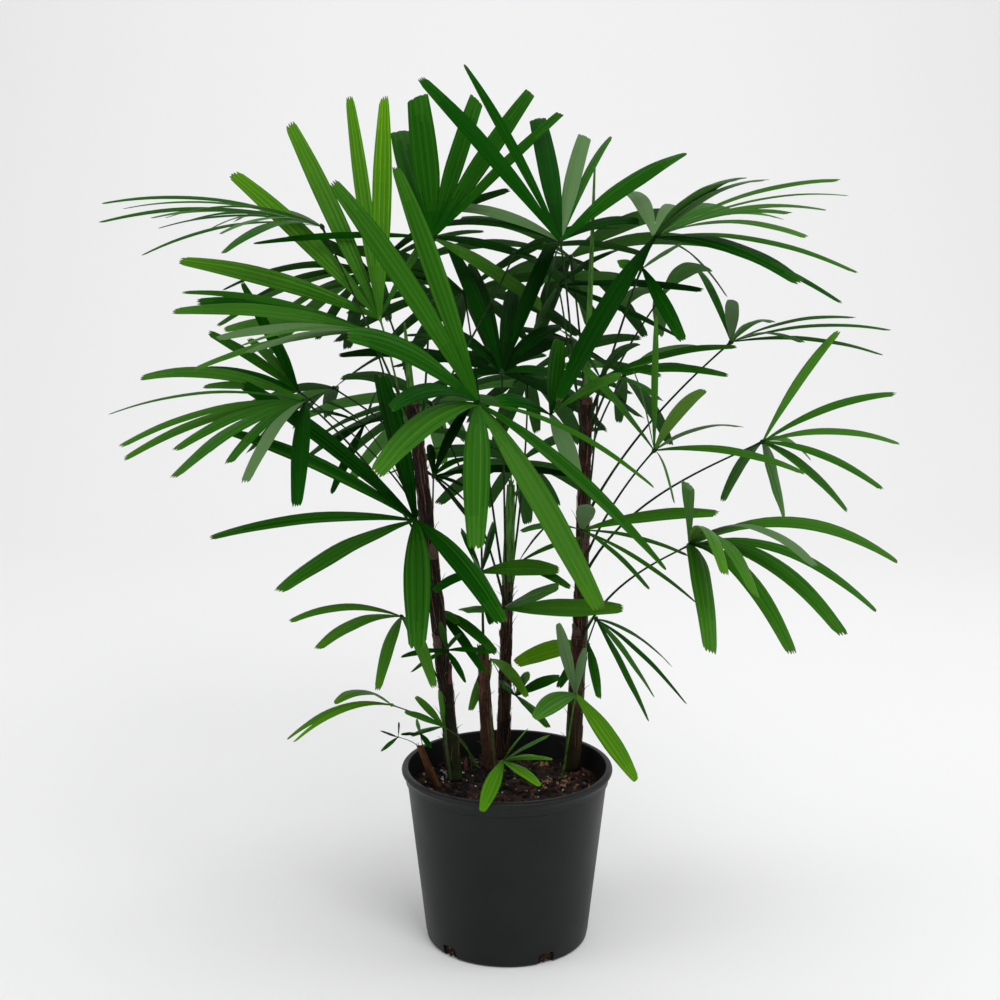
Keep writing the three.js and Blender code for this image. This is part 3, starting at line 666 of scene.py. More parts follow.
# Each row: name, cane, height of the stalk's foot (on the mix its place), hub, bearing and tip of the face,
# length, width and arch of the leaflets, the side they lean to, and clock angle and reach of each of them.
FRONDS = [
    ["frond_01", "cane_middle", 366, [-35, -170, 758], [-90, 60], 275, 27, 0.08, NEAR,
     [[123, 310], [109, 295], [152, 175], [-145, 150], [-176, 105], [-91, 180], [-60, 295], [-42, 305],
      [-26, 235]]],
    ["frond_02", "cane_left", 470, [-115, -75, 593], [-110, 50], 255, 27, 0.06, NEAR,
     [[141, 275], [154, 260], [-175, 260], [-152, 200], [-90, 170], [103, 190], [-51, 175]]],
    ["frond_03", "cane_right", 650, [64, -60, 939], [-90, 62], 275, 26, 0.05, AWAY,
     [[131, 260], [119, 240], [101, 150], [77, 130], [64, 140], [35, 185], [14, 100], [173, 155],
      [164, 150], [-104, 100]]],
    ["frond_04", "cane_right", 390, [225, -110, 570], [-60, 40], 250, 27, 0.16, NEAR,
     [[94, 70], [-78, 145], [-47, 195], [-31, 230], [-20, 250], [-5, 260], [-10, 160], [-39, 110],
      [-41, 60]]],
    ["frond_05", "cane_right", 480, [314, -90, 696], [-80, 58], 195, 16, 0.08, AWAY,
     [[57, 165], [20, 175], [-1, 170], [-22, 165], [-39, 140], [-72, 100], [-122, 90], [-21, 65]]],
    ["frond_06", "cane_right", 500, [184, -50, 677], [-60, 45], 195, 17, 0.08, NEAR,
     [[90, 170], [51, 100], [15, 115], [-9, 195], [132, 165], [105, 105], [-69, 75]]],
    ["frond_07", "soil", [-14, 31], [-6, -64, 270], [-90, 35], 115, 18, 0.04, NEAR,
     [[-111, 75], [-35, 60], [2, 65], [30, 70], [54, 55], [9, 45]]],
    ["frond_08", "soil", [74, 35], [90, -22, 346], [-80, 62], 145, 20, 0.05, NEAR,
     [[-56, 145], [-149, 65], [104, 100], [80, 65]]],
    ["frond_09", "cane_right", 692, [182, -20, 940], [-60, 24], 260, 20, 0.08, BOTH,
     [[17, 240], [12, 245], [34, 130], [18, 105], [-10, 260], [8, 160], [0, 190], [-19, 250], [-17, 195],
      [-39, 120], [-120, 240], [123, 65], [27, 155], [9, 215]]],
    ["frond_10", "cane_left", 600, [-171, -30, 823], [-110, 36], 250, 21, 0.06, BOTH,
     [[174, 250], [168, 240], [-168, 230], [170, 220], [-174, 165], [179, 185]]],
    ["frond_11", "cane_left", 520, [-249, -80, 745], [-120, 36], 245, 23, 0.08, BOTH,
     [[-176, 245], [172, 205], [-166, 240], [-162, 240], [-150, 195], [-148, 205], [-127, 130], [-97, 70],
      [-96, 135]]],
    ["frond_12", "cane_left", 640, [-163, 30, 833], [-90, 70], 285, 19, 0.04, AWAY,
     [[164, 265], [135, 260], [114, 270], [97, 280], [88, 280], [57, 150]]],
    ["frond_13", "cane_left", 668, [-94, 42, 934], [-90, 70], 240, 28, 0.03, AWAY,
     [[96, 180], [106, 140], [72, 185], [56, 220], [44, 225], [-32, 165], [-178, 230], [-12, 135]]],
    ["frond_14", "cane_rear", 430, [-7, 0, 768], [-90, 55], 235, 19, 0.06, AWAY,
     [[112, 170], [106, 145], [82, 115], [69, 100], [64, 170], [38, 95], [23, 105], [174, 210],
      [-165, 115], [-29, 155]]],
    ["frond_15", "cane_left", 330, [-135, -52, 461], [-120, 45], 155, 14, 0.11, NEAR,
     [[-177, 145], [-158, 120], [-108, 105], [-67, 105]]],
    ["frond_16", "soil", [-40, 75], [-150, -40, 338], [-110, 50], 145, 13, 0.14, NEAR,
     [[-161, 145], [-158, 140], [179, 75]]],
    ["frond_17", "soil", [-48, 61], [-84, -22, 302], [-120, 50], 62, 10, 0.05, NEAR,
     [[131, 55], [158, 55], [95, 50], [-163, 45]]],
    ["frond_18", "cane_right", 440, [96, -4, 563], [-75, 38], 190, 18, 0.05, NEAR,
     [[7, 180], [-14, 145], [-33, 180], [73, 35], [-42, 120], [-178, 80]]],
    ["frond_19", "cane_right", 590, [54, -45, 722], [-90, 50], 150, 21, 0.06, NEAR,
     [[84, 95], [-68, 90], [166, 70], [29, 100]]],
    ["frond_20", "cane_left", 352, [-78, -52, 416], [-90, 25], 66, 9, 0.06, NEAR,
     [[-171, 60], [-147, 55], [-61, 50], [-4, 60], [101, 40], [51, 30]]],
    ["frond_21", "cane_rear", 392, [-5, 18, 452], [-90, 45], 170, 23, 0.02, NEAR,
     [[0, 160], [22, 80], [120, 80], [-176, 55]]],
    ["frond_22", "cane_rear", 352, [12, 58, 318], [-60, 55], 85, 16, 0.06, NEAR,
     [[56, 35], [-46, 65], [23, 65], [142, 25]]],
    ["frond_23", "cane_right", 560, [290, 60, 798], [-70, 22], 200, 14, 0.07, BOTH,
     [[11, 165], [4, 210], [-1, 95], [-5, 200], [25, 60], [116, 105], [89, 55]]],
    ["frond_24", "cane_left", 690, [-239, 85, 944], [-120, 18], 290, 14, 0.075, BOTH,
     [[174, 285], [175, 260], [-168, 240], [179, 290], [177, 205], [-178, 150], [-165, 135], [177, 115]]],
    ["frond_25", "cane_left", 560, [-272, 60, 733], [-90, 55], 155, 13, 0.04, AWAY,
     [[146, 140], [116, 160], [114, 100], [166, 125], [132, 95], [177, 125]]],
    ["frond_26", "cane_left", 540, [-188, 72, 687], [-100, 45], 110, 15, 0.06, NEAR,
     [[148, 60], [70, 45], [166, 75], [-116, 105], [15, 65]]],
    ["frond_27", "cane_right", 340, [121, 92, 415], [-30, 40], 170, 15, 0.1, AWAY,
     [[-63, 165], [-44, 175], [-54, 140], [-33, 125]]],
    ["frond_28", "cane_right", 300, [111, 84, 381], [-90, 50], 110, 14, 0.08, NEAR,
     [[-165, 105], [-79, 80], [-124, 75]]],
    ["frond_29", "cane_rear", 318, [-22, 98, 356], [-120, 50], 85, 14, 0.08, NEAR,
     [[-111, 80], [-103, 65], [-48, 75]]],
    ["frond_30", "cane_left", 372, [-92, 34, 445], [-80, 50], 115, 14, 0.08, NEAR,
     [[-71, 85], [-38, 100], [-55, 110], [-176, 40]]],
    ["frond_31", "cane_left", 520, [-97, 62, 620], [-90, 40], 190, 14, 0.06, AWAY,
     [[0, 190], [177, 60], [-53, 120], [-28, 85], [63, 105]]],
    ["frond_32", "cane_middle", 340, [-34, 62, 489], [-90, 45], 110, 14, 0.06, NEAR,
     [[76, 70], [-157, 70], [-80, 75], [115, 65], [1, 105]]],
    ["frond_33", "cane_rear", 415, [14, 60, 502], [-90, 40], 115, 15, 0.06, NEAR,
     [[-1, 85], [53, 65], [-26, 80]]],
    ["frond_34", "shoot", 272, [-141, -62, 302], [-120, 30], 30, 6, 0.04, NEAR,
     [[159, 25], [89, 20], [-139, 30]]],
    ["frond_35", "shoot", 266, [-113, -56, 305], [-90, 20], 30, 6, 0.04, NEAR,
     [[-176, 25], [99, 20], [21, 20], [-54, 25]]],
    ["frond_36", "cane_right", 700, [65, 62, 871], [-90, 34], 190, 13, 0.04, AWAY,
     [[-2, 190], [-23, 175], [31, 90], [-117, 65], [137, 65]]],
    ["frond_37", "cane_right", 560, [118, 4, 760], [-80, 36], 185, 15, 0.07, NEAR,
     [[13, 180], [1, 165], [43, 65], [-21, 85], [130, 80]]],
    ["frond_38", "cane_right", 680, [167, -32, 903], [-80, 52], 110, 18, 0.03, NEAR,
     [[-60, 105], [34, 55], [169, 40]]],
]
# Each row: name, cane, height of the stalk's foot, hub, bearing and tip of the face, and how many leaflets
# the fan has, how long and how wide.
REAR_FRONDS = [
    ["frond_39", "cane_left", 700, [-186, 200, 874], 125, 38, 8, 240, 23],
    ["frond_40", "cane_rear", 440, [-59, 225, 842], 100, 36, 8, 250, 25],
    ["frond_41", "cane_right", 700, [87, 215, 892], 75, 38, 8, 245, 25],
    ["frond_42", "cane_right", 660, [210, 170, 847], 40, 34, 7, 225, 23],
    ["frond_43", "cane_left", 610, [-236, 175, 718], 150, 34, 7, 220, 22],
    ["frond_44", "cane_rear", 424, [-108, 265, 681], 115, 40, 8, 230, 24],
    ["frond_45", "cane_rear", 436, [29, 290, 718], 88, 40, 8, 235, 25],
    ["frond_46", "cane_right", 600, [165, 260, 721], 62, 38, 7, 220, 24],
    ["frond_47", "cane_rear", 400, [19, 235, 604], 88, 42, 7, 190, 22],
    ["frond_48", "cane_left", 680, [9, 130, 905], 90, 25, 7, 210, 22],
]
REAR_FAN = 250  # degrees from the first leaflet of such a fan to the last
REAR_ARCH = 0.1
UP = np.array([0.0, 0.0, 1.0])
print("fronds:", len(FRONDS), "given leaflet by leaflet,", len(REAR_FRONDS), "by rule")

# %% Which way the leaflets point
# The rule draws its chances by number, so each use adds an offset of its own to the leaflet's number.
REACHES, ROLLS, TWISTS, TIPS, RIPPLES, SLANTS, MARKS = range(40, 281, 40)


def scatter(first, second):
    """A repeatable value from -1 to 1 for two whole numbers."""
    wave = math.sin(first * 12.9898 + second * 78.233) * 43758.5453
    return 2 * (wave - math.floor(wave)) - 1


def unit(vector):
    return vector / np.linalg.norm(vector, axis=-1, keepdims=True)


def facing(bearing, tip):
    """The direction that is tipped from straight up by some degrees, towards a bearing."""
    turn, down = math.radians(bearing), math.radians(tip)
    return np.array([math.cos(turn) * math.sin(down), math.sin(turn) * math.sin(down), math.cos(down)])


def seen_leaflets(hub, full, lean, rays, seed):
    """Leaflets as vectors from hub to tip. Each tip lies on its sight line, a full length from the hub."""
    found = []
    to_hub = hub - STANDPOINT
    for i, (clock, reach) in enumerate(rays):
        turn = math.radians(clock)
        mark = hub + [reach * math.cos(turn), 0, reach * math.sin(turn)]
        sight = unit(mark - STANDPOINT)
        nearest = to_hub @ sight
        aside = math.sqrt(to_hub @ to_hub - nearest * nearest)
        length = max(aside, full * (0.97 + 0.03 * scatter(seed, i)))
        way = lean or (-1 if i % 2 == 0 else 1)
        found.append(sight * (nearest + way * math.sqrt(length * length - aside * aside)) - to_hub)
    return found


def fanned_leaflets(bearing, tip, count, length, seed):
    """Leaflets as vectors from hub to tip, in an even fan in the blade's own plane."""
    down = facing(bearing, tip + 90)
    sideways = np.array([-math.sin(math.radians(bearing)), math.cos(math.radians(bearing)), 0])
    found = []
    for i in range(count):
        degrees = REAR_FAN * (i / (count - 1) - 0.5) + 6 * scatter(seed, i)
        shorter = 1 - 0.25 * abs(degrees) / REAR_FAN  # towards both ends of the fan
        reach = length * shorter * (0.95 + 0.05 * scatter(seed, i + REACHES))
        turn = math.radians(degrees)
        found.append(down * reach * math.cos(turn) + sideways * reach * math.sin(turn))
    return found


print("frond_01 faces:", facing(*FRONDS[0][4]).round(2))


# %% Along a leaflet and along a stalk
def leaflet_frame(frond, reach, roll, share):
    """Middle, direction, side and upward normal of a leaflet at shares of its length."""
    share = np.atleast_1d(share)[:, None]
    rise = 4 * frond["arch"] * math.hypot(reach[0], reach[1])
    centre = frond["hub"] + reach * share + UP * rise * share * (1 - share)
    along = unit(reach + UP * rise * (1 - 2 * share))
    side = unit(np.cross(np.cross(along, np.cross(frond["face"], reach)), along))
    roll = np.broadcast_to(roll, (len(share),))[:, None]
    side = side * np.cos(roll) + np.cross(along, side) * np.sin(roll)
    return centre, along, side, np.cross(along, side)


def stalk_line(frond, sway, lift, shares):
    """Points along a stalk, and its side: it leaves its cane slanting up, then arches over to the hub."""
    foot = frond["foot"] + UP * lift
    span = frond["hub"] - foot
    out = np.array([span[0], span[1], 0])
    if np.linalg.norm(out) < 1:
        out = frond["face"] * [1, 1, 0]
    out = unit(out)
    across = np.cross(UP, out)
    length = np.linalg.norm(span)
    low = foot + UP * 0.34 * length + out * 0.16 * length + across * sway
    high = foot + span * 0.66 + UP * 0.08 * length + across * sway
    t = np.asarray(shares)[:, None]
    line = ((1 - t) ** 3 * foot + 3 * (1 - t) ** 2 * t * low + 3 * (1 - t) * t ** 2 * high
            + t ** 3 * frond["hub"])
    return line, across


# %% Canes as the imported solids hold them
def packed_points(node):
    """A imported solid's points, in millimetres."""
    return np.array([vertex.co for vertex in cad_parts[node].data.vertices]) * 1000


def cane_rings(node):
    """Heights, middles and radii of a cane's rings of points."""
    points = packed_points(node)
    heights = np.unique(np.round(points[:, 2], 2))
    rings = [points[np.abs(points[:, 2] - z) < 0.02] for z in heights]
    middles = np.array([(ring.min(0) + ring.max(0)) / 2 for ring in rings])
    radii = [np.linalg.norm((ring - middle)[:, :2], axis=1).max() for ring, middle in zip(rings, middles)]
    return heights, middles, np.array(radii)


def cane_middle_at(cane, height):
    heights, middles, _ = CANES[cane]
    x, y = (np.interp(height, heights, middles[:, axis]) for axis in (0, 1))
    return np.array([x, y, height])


CANES = {name: cane_rings(name) for name in ("cane_left", "cane_right", "cane_middle", "cane_rear", "shoot")}
for cane, (heights, _, _) in CANES.items():
    print(f"{cane}: {len(heights)} rings up to {heights[-1]} mm")

# %% Fronds by the rule
SOIL_TOP = 212
SOIL_STALK_DEPTH = 6.0  # how deep in the mix the stalks of young fronds start
FULL_LEAF = 200  # stalks have their full size on fronds with leaflets this long
SMALLEST = 0.35  # share of that size that the thinnest stalks have


def start_frond(name, on, foot_at, hub, length, **rest):
    if on == "soil":
        foot = np.array([*foot_at, SOIL_TOP - SOIL_STALK_DEPTH])
    else:
        foot = cane_middle_at(on, foot_at)
    scale = min(1.0, max(SMALLEST, length / FULL_LEAF))
    return {"name": name, "number": int(name[-2:]), "foot": foot, "hub": hub, "scale": scale, **rest}


fronds = []
for seed, (name, on, foot_at, hub, face, length, width, arch, lean, rays) in enumerate(FRONDS):
    hub = np.array(hub, float)
    reaches = seen_leaflets(hub, length, lean, rays, seed)
    fronds.append(start_frond(name, on, foot_at, hub, length, face=facing(*face), width=width, arch=arch,
                              reaches=reaches, seed=seed))
for seed, (name, on, foot_at, hub, bearing, tip, count, length, width) in enumerate(REAR_FRONDS, len(FRONDS)):
    hub = np.array(hub, float)
    reaches = fanned_leaflets(bearing, tip, count, length, seed)
    fronds.append(start_frond(name, on, foot_at, hub, length, face=facing(bearing, tip), width=width,
                              arch=REAR_ARCH, reaches=reaches, seed=seed))
print("fronds:", len(fronds), "with", sum(len(frond["reaches"]) for frond in fronds), "leaflets")

# %% [markdown]
# ## Where each leaflet was settled
#
# Where two leaflets would have met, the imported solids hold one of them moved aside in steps, or leave it out.
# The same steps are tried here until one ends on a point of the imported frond, which a search tree finds
# quickly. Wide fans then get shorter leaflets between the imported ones, as real fans have, and a few leaflets
# are left out, so that light shows through the crown.

# %% Try the steps
NEARBY = 1.0  # a packed point within this many millimetres confirms a try
ROLL = math.radians(14)
LEAF_SOLID = (2.4, 90)  # a packed leaflet is at least this thick, and at least its length over this
STALK_SOLID = {0.6: 2.22, 0.8: 2.06}  # radii of a packed stalk, by shares of its length
SHIFTS = [(0, 0)]
SHIFTS += [(way * step, 0) for step in range(12, 61, 12) for way in (1, -1)]
for step in range(12, 61, 12):
    SHIFTS += [(0, step), (0, -step), (step, step), (-step, step)]


def search_tree(name):
    """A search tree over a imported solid's points."""
    points = packed_points(name)
    tree = KDTree(len(points))
    for i, point in enumerate(points):
        tree.insert(point, i)
    tree.balance()
    return tree


def is_packed(tree, point):
    return tree.find(Vector(point))[2] < NEARBY


def settled_reach(frond, tree, reach, roll):
    """The leaflet's vector as packed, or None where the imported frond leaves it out."""
    thickness, slender = LEAF_SOLID
    sight = unit(frond["hub"] + reach - STANDPOINT)
    for shorten in (1, 0.8):
        for deeper, higher in SHIFTS:
            tried = reach * shorten + sight * deeper + UP * higher
            half = max(thickness * frond["scale"], np.linalg.norm(tried) / slender) / 2
            centre, _, _, top = leaflet_frame(frond, tried, roll, 1.0)
            if is_packed(tree, centre[0] + top[0] * half):
                return tried
    return None


def settled_stalk(frond, tree):
    """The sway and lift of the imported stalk."""
    for lift in (0, -12, 12, -24, 24, -36, 36):
        for sway in (0, 12, -12, 24, -24, 36, -36, 48, -48):
            line, across = stalk_line(frond, sway, lift, list(STALK_SOLID))
            radii = [radius * frond["scale"] for radius in STALK_SOLID.values()]
            if all(is_packed(tree, at + across * radius) for at, radius in zip(line, radii)):
                return sway, lift
    print("no packed stalk found for", frond["name"])
    return 0, 0


# %% More leaflets here, fewer there
FULLER = (9, 10, 11, 14, 24, 26, 31, 36, *range(39, 49))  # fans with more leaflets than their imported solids
FILLER = 300  # the added leaflets are numbered from here, past the fan's own
OPEN = {  # leaflets left out, by frond
    9: (310,), 11: (301,), 39: (1, 306), 40: (300, 301), 41: (2, 301, 302, 305),
    42: (1, 2, 3, 300, 302, 303), 43: (1, 6, 300, 301, 305), 44: (306,), 46: (1, 2, 302), 47: (1, 301),
}


def between_leaflets(frond):
    """A shorter leaflet in each wide space between two neighbours of a fan."""
    leaflets = frond["leaflets"]
    across = unit(np.cross(frond["face"], [0.3, 0.9, 0.2]))
    over = np.cross(frond["face"], across)
    fan = sorted((math.atan2(reach @ over, reach @ across), k) for k, (_, reach, _) in enumerate(leaflets))
    found = []
    for (angle, first), (next_angle, second) in zip(fan, fan[1:]):
        if 0.3 < next_angle - angle < 0.9:
            pair = [leaflets[k][1] for k in (first, second)]
            length = 0.4 * sum(np.linalg.norm(reach) for reach in pair)
            found.append((FILLER + first, unit(sum(pair)) * length, 0.0))
    return found


left_out = 0
for frond in fronds:
    tree = search_tree(frond["name"])
    frond["stalk"] = settled_stalk(frond, tree)
    frond["leaflets"] = []
    for i, reach in enumerate(frond["reaches"]):
        roll = ROLL * scatter(frond["seed"], i + ROLLS)
        tried = settled_reach(frond, tree, reach, roll)
        if tried is None:
            left_out += 1
        else:
            frond["leaflets"].append((i, tried, roll))
    if frond["number"] in FULLER:
        frond["leaflets"] += between_leaflets(frond)
    gone = OPEN.get(frond["number"], ())
    frond["leaflets"] = [leaflet for leaflet in frond["leaflets"] if leaflet[0] not in gone]
print("leaflets:", sum(len(frond["leaflets"]) for frond in fronds), "left out:", left_out)

# %% [markdown]
# ## Leaflets
#
# A leaflet is a stiff, nearly parallel-sided ribbon with two to four lengthwise pleats and a blunt end cut
# into short teeth, one for each pleat. There are hundreds, so each is laid out as a small grid in arrays:
# rows along its arch, columns on the ridges and valleys of its pleats. A second grid just below closes it,
# joined to the first along the rim, so the leaflet is a true thin body with its own pale underside.

# %% The grid of a leaflet
THICKNESS = 0.45
PLEAT = 0.014  # height of a pleat, as a share of the leaflet's width
FOLD = 0.1  # how far a leaflet's two halves slope down from its middle
WAVE = 0.02  # how far its edges rise and fall along it
TWIST = math.radians(14)
RIB, STRIPE = 0.14, 0.2  # widths of a pleat's valley and of its ridge, as shares of the pleat
ROOT = 3  # how far from the hub's middle a leaflet starts
LONG_LEAFLET = 120
LONG_ROWS, SHORT_ROWS = 18, 10  # rows of points of leaflets over that length, and of the others
WIDE_LEAFLET, NARROW_LEAFLET = 19, 12  # over the first it has four pleats, up to the second it has two


def leaflet_shares(length, scale):
    """Shares of a leaflet's length at which it has rows of points, the last of them for its teeth."""
    rows = LONG_ROWS if length > LONG_LEAFLET else SHORT_ROWS
    root = ROOT * scale / length
    return root + (1 - root) * np.append(0.95 * np.linspace(0, 1, rows - 2) ** 0.9, [0.98, 1])


def leaflet_width(share, tip):
    """Share of the full width: narrow root, full by the middle, and drawn in to the tip."""
    grow = 0.2 + 0.8 * np.sin(np.pi / 2 * np.clip(share / 0.5, 0, 1)) ** 1.15
    fade = 1 - (1 - tip) * np.clip((share - 0.6) / 0.4, 0, 1) ** 1.6
    return np.minimum(grow, fade)


def pleat_columns(width):
    """Places across a leaflet from -1 to 1, with the height and the tone of each strip of its pleats: valleys a
    step darker and ridges a step lighter, partly the leaf's own bands and partly painted shade and painted
    light.
    """
    pleats = 4 if width > WIDE_LEAFLET else 3 if width > NARROW_LEAFLET else 2
    slope = (1 - RIB - STRIPE) / 2
    edges = np.array([0, RIB, RIB + slope, RIB + slope + STRIPE])
    across = np.concatenate([edges + k for k in range(pleats)] + [[pleats, pleats + RIB]])
    across = 2 * across / (pleats + RIB) - 1
    height = np.tile([-1.0, -1.0, 1.0, 1.0], pleats + 1)[:len(across)]
    return across, height, np.tile([-0.6, 0, 1, 0], pleats + 1)[:len(across) - 1]


def leaflet_relief(share, across, height, phase):
    """How far each point rises, as a share of the leaflet's width: pleats, fold and wavy edges."""
    deep = np.clip(share / 0.2, 0.3, 1) * np.where(share > 0.97, 0.5, 1)
    ripple = WAVE * np.sin(2 * np.pi * (2.4 * share + phase))
    pleats = PLEAT * height[None, :] * deep[:, None]
    return pleats + ripple[:, None] * across[None, :] ** 2 - FOLD * np.abs(across)[None, :]


def grid_faces(rows, columns):
    """Top and bottom faces of a closed blade whose two grids share their rim."""
    top = np.arange(rows * columns).reshape(rows, columns)
    under = top.copy()
    inside = (rows - 2) * (columns - 2)
    under[1:-1, 1:-1] = rows * columns + np.arange(inside).reshape(rows - 2, columns - 2)

    def quads(index, order):
        corners = [index[:-1, :-1], index[:-1, 1:], index[1:, 1:], index[1:, :-1]]
        return np.stack([corners[k].ravel() for k in order], axis=1)

    return quads(top, (0, 3, 2, 1)), quads(under, (0, 1, 2, 3))


print("columns of a wide leaflet:", len(pleat_columns(20)[0]))

# %% [markdown]
# ## What sets one leaflet off from the next
#
# No two leaflets of a real fan match. They differ in width, in how old their green is, in how much painted
# shade and painted light it is given as they turn from or towards the light, and in their ends, and where one
# is turned over its pale underside shows; that pale green also serves as painted sheen. A rule can't know
# that, so tables say it for the fans that show most, leaflet by leaflet, and the rest differ a little by
# chance.

# %% Widths, shades and ends
WIDTHS = {  # shares of their frond's width, where a fan's leaflets differ
    1: [0.95, 0.9, 1.05, 1.05, 0.8, 1.15, 1.1, 0.65, 0.25],
    2: [0.75, 0.7, 0.65, 1.15, 1.25, 1.0, 0.9],
    3: [0.8, 0.5, 1.0, 0.8, 0.4, 0.85, 0.5, 0.45, 0.6, 0.8],
    4: [0.7, 1.1, 0.85, 0.85, 0.7, 0.6, 1.0, 0.9, 0.8],
    5: [0.75, 0.65, 0.65, 0.65, 0.85, 1.7, 0.9, 0.6],
    6: [0.7, 0.95, 0.9, 0.9, 0.85, 0.5, 0.3],
    7: [1.15, 0.8, 0.5, 0.75, 0.5, 0.45],
    8: [1.2, 1.25, 0.85, 0.6],
    9: [0.8, 0.25, 1.5, 1.5, 0.6, 1.0, 0.9, 1.05, 1.6, 0.7, 1.35, 1.2, 1.0, 0.7],
    10: [1.0, 0.45, 0.8, 0.9, 1.0, 1.0],
    11: [0.4, 0.7, 0.6, 0.6, 1.2, 1.5, 0.8, 0.7, 1.0],
    12: [1.2, 1.3, 1.3, 1.05, 1.3, 0.6],
    13: [1.25, 1.5, 0.85, 0.85, 0.5, 0.75, 0.3, 0.45],
    15: [0.8, 1.5, 1.2, 1.2],
    16: [0.9, 0.6, 1.7],
    18: [1.0, 0.5, 0.4, 1.3, 0.45, 0.6],
    21: [1.4, 1.0, 1.0, 1.0],
    23: [0.9, 0.6, 0.9, 0.8, 1.2, 0.8, 1.3],
    24: [0.6, 0.6, 0.6, 0.75, 0.8, 1.0, 1.3, 1.0],
    28: [1.9, 1.0, 1.0],
    32: [1.0, 1.0, 1.0, 1.0, 1.7],
    33: [0.55, 0.5, 0.9],
    34: [1.5, 1.6, 1.2],
    35: [1.3, 1.3, 1.3, 1.3],
}
# A PALE leaflet is silver green all over: partly a pale underside that shows, and partly painted sheen on its
# top.
PALE = -99
# The steps stand for age, and also for painted shade and painted light on leaflets turned from or towards the
# light.
SHADES = {  # steps up or down the ladder of greens, or a leaflet that shows its pale underside
    1: [-1, -1, -3, 0, -5, -1, 1, -2, -1],
    2: [-3, -1, 0, 1, 1, -3, -1],
    3: [0, 0, -1, PALE, 2, 1, -1, -2, PALE, -2],
    4: [-2, 0, -1, -1, -1, 0, PALE, 1, 2],
    5: [1, -1, 1, -1, -1, 0, -2, 1],
    6: [0, 2, PALE, 0, -1, -1, 0],
    8: [1, -2, PALE, PALE],
    9: [0, 0, -2, -1, -1, 1, 1, -4, -4, -4, -6, PALE, PALE, 0],
    10: [0, -2, 0, -4, 1, 0],
    11: [-1, 0, 0, 1, -1, 0, PALE, -1, -5],
    12: [-1, 0, -1, 0, 1, -2],
    13: [0, 0, 0, 0, 0, 4, -2, -3],
    15: [1, 1, 1, 1],
    18: [2, 0, 1, PALE, 0, 1],
    19: [1, PALE, 0, 4],
    21: [3, 2, 0, 0],
    23: [0, 0, -1, -1, 0, -1, PALE],
    24: [0, 1, 0, 0, 1, PALE, 0, PALE],
    28: [7, -1, -1],
    32: [0, 0, 0, 0, 4],
    33: [2, 0, 2],
}
SINGLE_ENDS = {(1, 7): "pointed", (1, 8): "pointed", (3, 0): "blunt", (3, 1): "pointed", (3, 4): "blunt",
               (3, 5): "pointed", (4, 4): "pointed", (4, 5): "pointed", (9, 1): "pointed", (11, 0): "pointed",
               (13, 6): "pointed", (18, 2): "pointed"}
CUT = (3, 13)  # fronds with bluntly cut ends
POINTED = (7, 8, 16, 20, 24, 27, 34, 35)
TIP_WIDTH = {"blunt": 0.5, "cut": 0.8, "pointed": 0.3}  # width left at a leaflet's end, as a share
TEETH = {"blunt": 4.2, "cut": 0.8, "pointed": 0.5}  # depth of the cuts in a leaflet's end
SLANT = 5.0  # how much further one corner of the end may reach than the other


def leaflet_marks(frond, i):
    """Width, step and end of one leaflet."""
    number = frond["number"]
    widths, shades = WIDTHS.get(number, []), SHADES.get(number, [])
    chance = scatter(frond["seed"], i + MARKS)
    if i < len(widths):
        share = widths[i]
    else:
        share = 1.05 if i < FILLER else 0.8
    if i < len(shades):
        shade = shades[i]
    elif shades and chance > 0.2:
        shade = PALE
    else:
        shade = round(1.9 * chance)
    end = "cut" if number in CUT else "pointed" if number in POINTED else "blunt"
    return frond["width"] * share, shade, SINGLE_ENDS.get((number, i), end)


def cut_back(frond, i, end, across, height, chance):
    """How far the end of each column is drawn back: teeth, a slant, and rounded corners unless cut."""
    slant = SLANT * scatter(frond["seed"], i + SLANTS) * (1 if end == "cut" else 0.6)
    teeth = TEETH[end] * np.where(height < 0, 0.9 + 0.5 * chance, 0.15)
    corners = 3.0 * across ** 4 * (end != "cut")
    return (teeth + slant * across + abs(slant) + corners) * frond["scale"]


print("fans told leaflet by leaflet:", len(WIDTHS), "in width,", len(SHADES), "in shade")

# %% [markdown]
# ## Leaf finish
#
# A leaf's colour has a place: ribs are dark, ridges of the pleats light, tips yellower, and old fronds deep
# green where new ones are nearly lime. The dark ribs and light ridges are partly the leaf's own bands and
# partly painted shade and painted light on the pleats; the greens also darken towards each hub as painted shade
# where the leaflets crowd, and the fronds inside and behind the crown are dealt darker greens as painted shade.
# A painted pattern would slide on so many small blades, so the colours are a ladder of plain greens instead,
# and each strip of a pleat is dealt one step of it. The finish itself is satin: fine veins break up the gloss.
# The underside is paler and duller.

# %% A ladder of greens
STEPS = 19
RUNGS = [0, 4, 7, 9, 12, 18]  # the steps whose greens are given; those between are mixed from them
RUNG_GREENS = np.array([
    (0.0006, 0.012, 0.0002),  # in deep shade
    (0.003, 0.052, 0.0006),  # old
    (0.019, 0.1, 0.0035),  # a little younger
    (0.038, 0.138, 0.01),  # full grown
    (0.062, 0.2, 0.004),  # young
    (0.2, 0.44, 0.012),  # new
])
SHADY_STEPS = 6  # how many of the darkest greens are duller too
UNDERSIDES = {  # name and colour, by the lowest step that has them
    0: ("dark", (0.016, 0.066, 0.009)),
    5: ("grown", (0.052, 0.16, 0.027)),
    10: ("young", (0.1, 0.23, 0.03)),
}
SILVER = STEPS + len(UNDERSIDES)
DRY = SILVER + 1


def ladder_green(step):
    """From the nearly black green of old leaves in shade to the yellow-green of new ones."""
    return [float(np.interp(step, RUNGS, channel)) for channel in RUNG_GREENS.T]


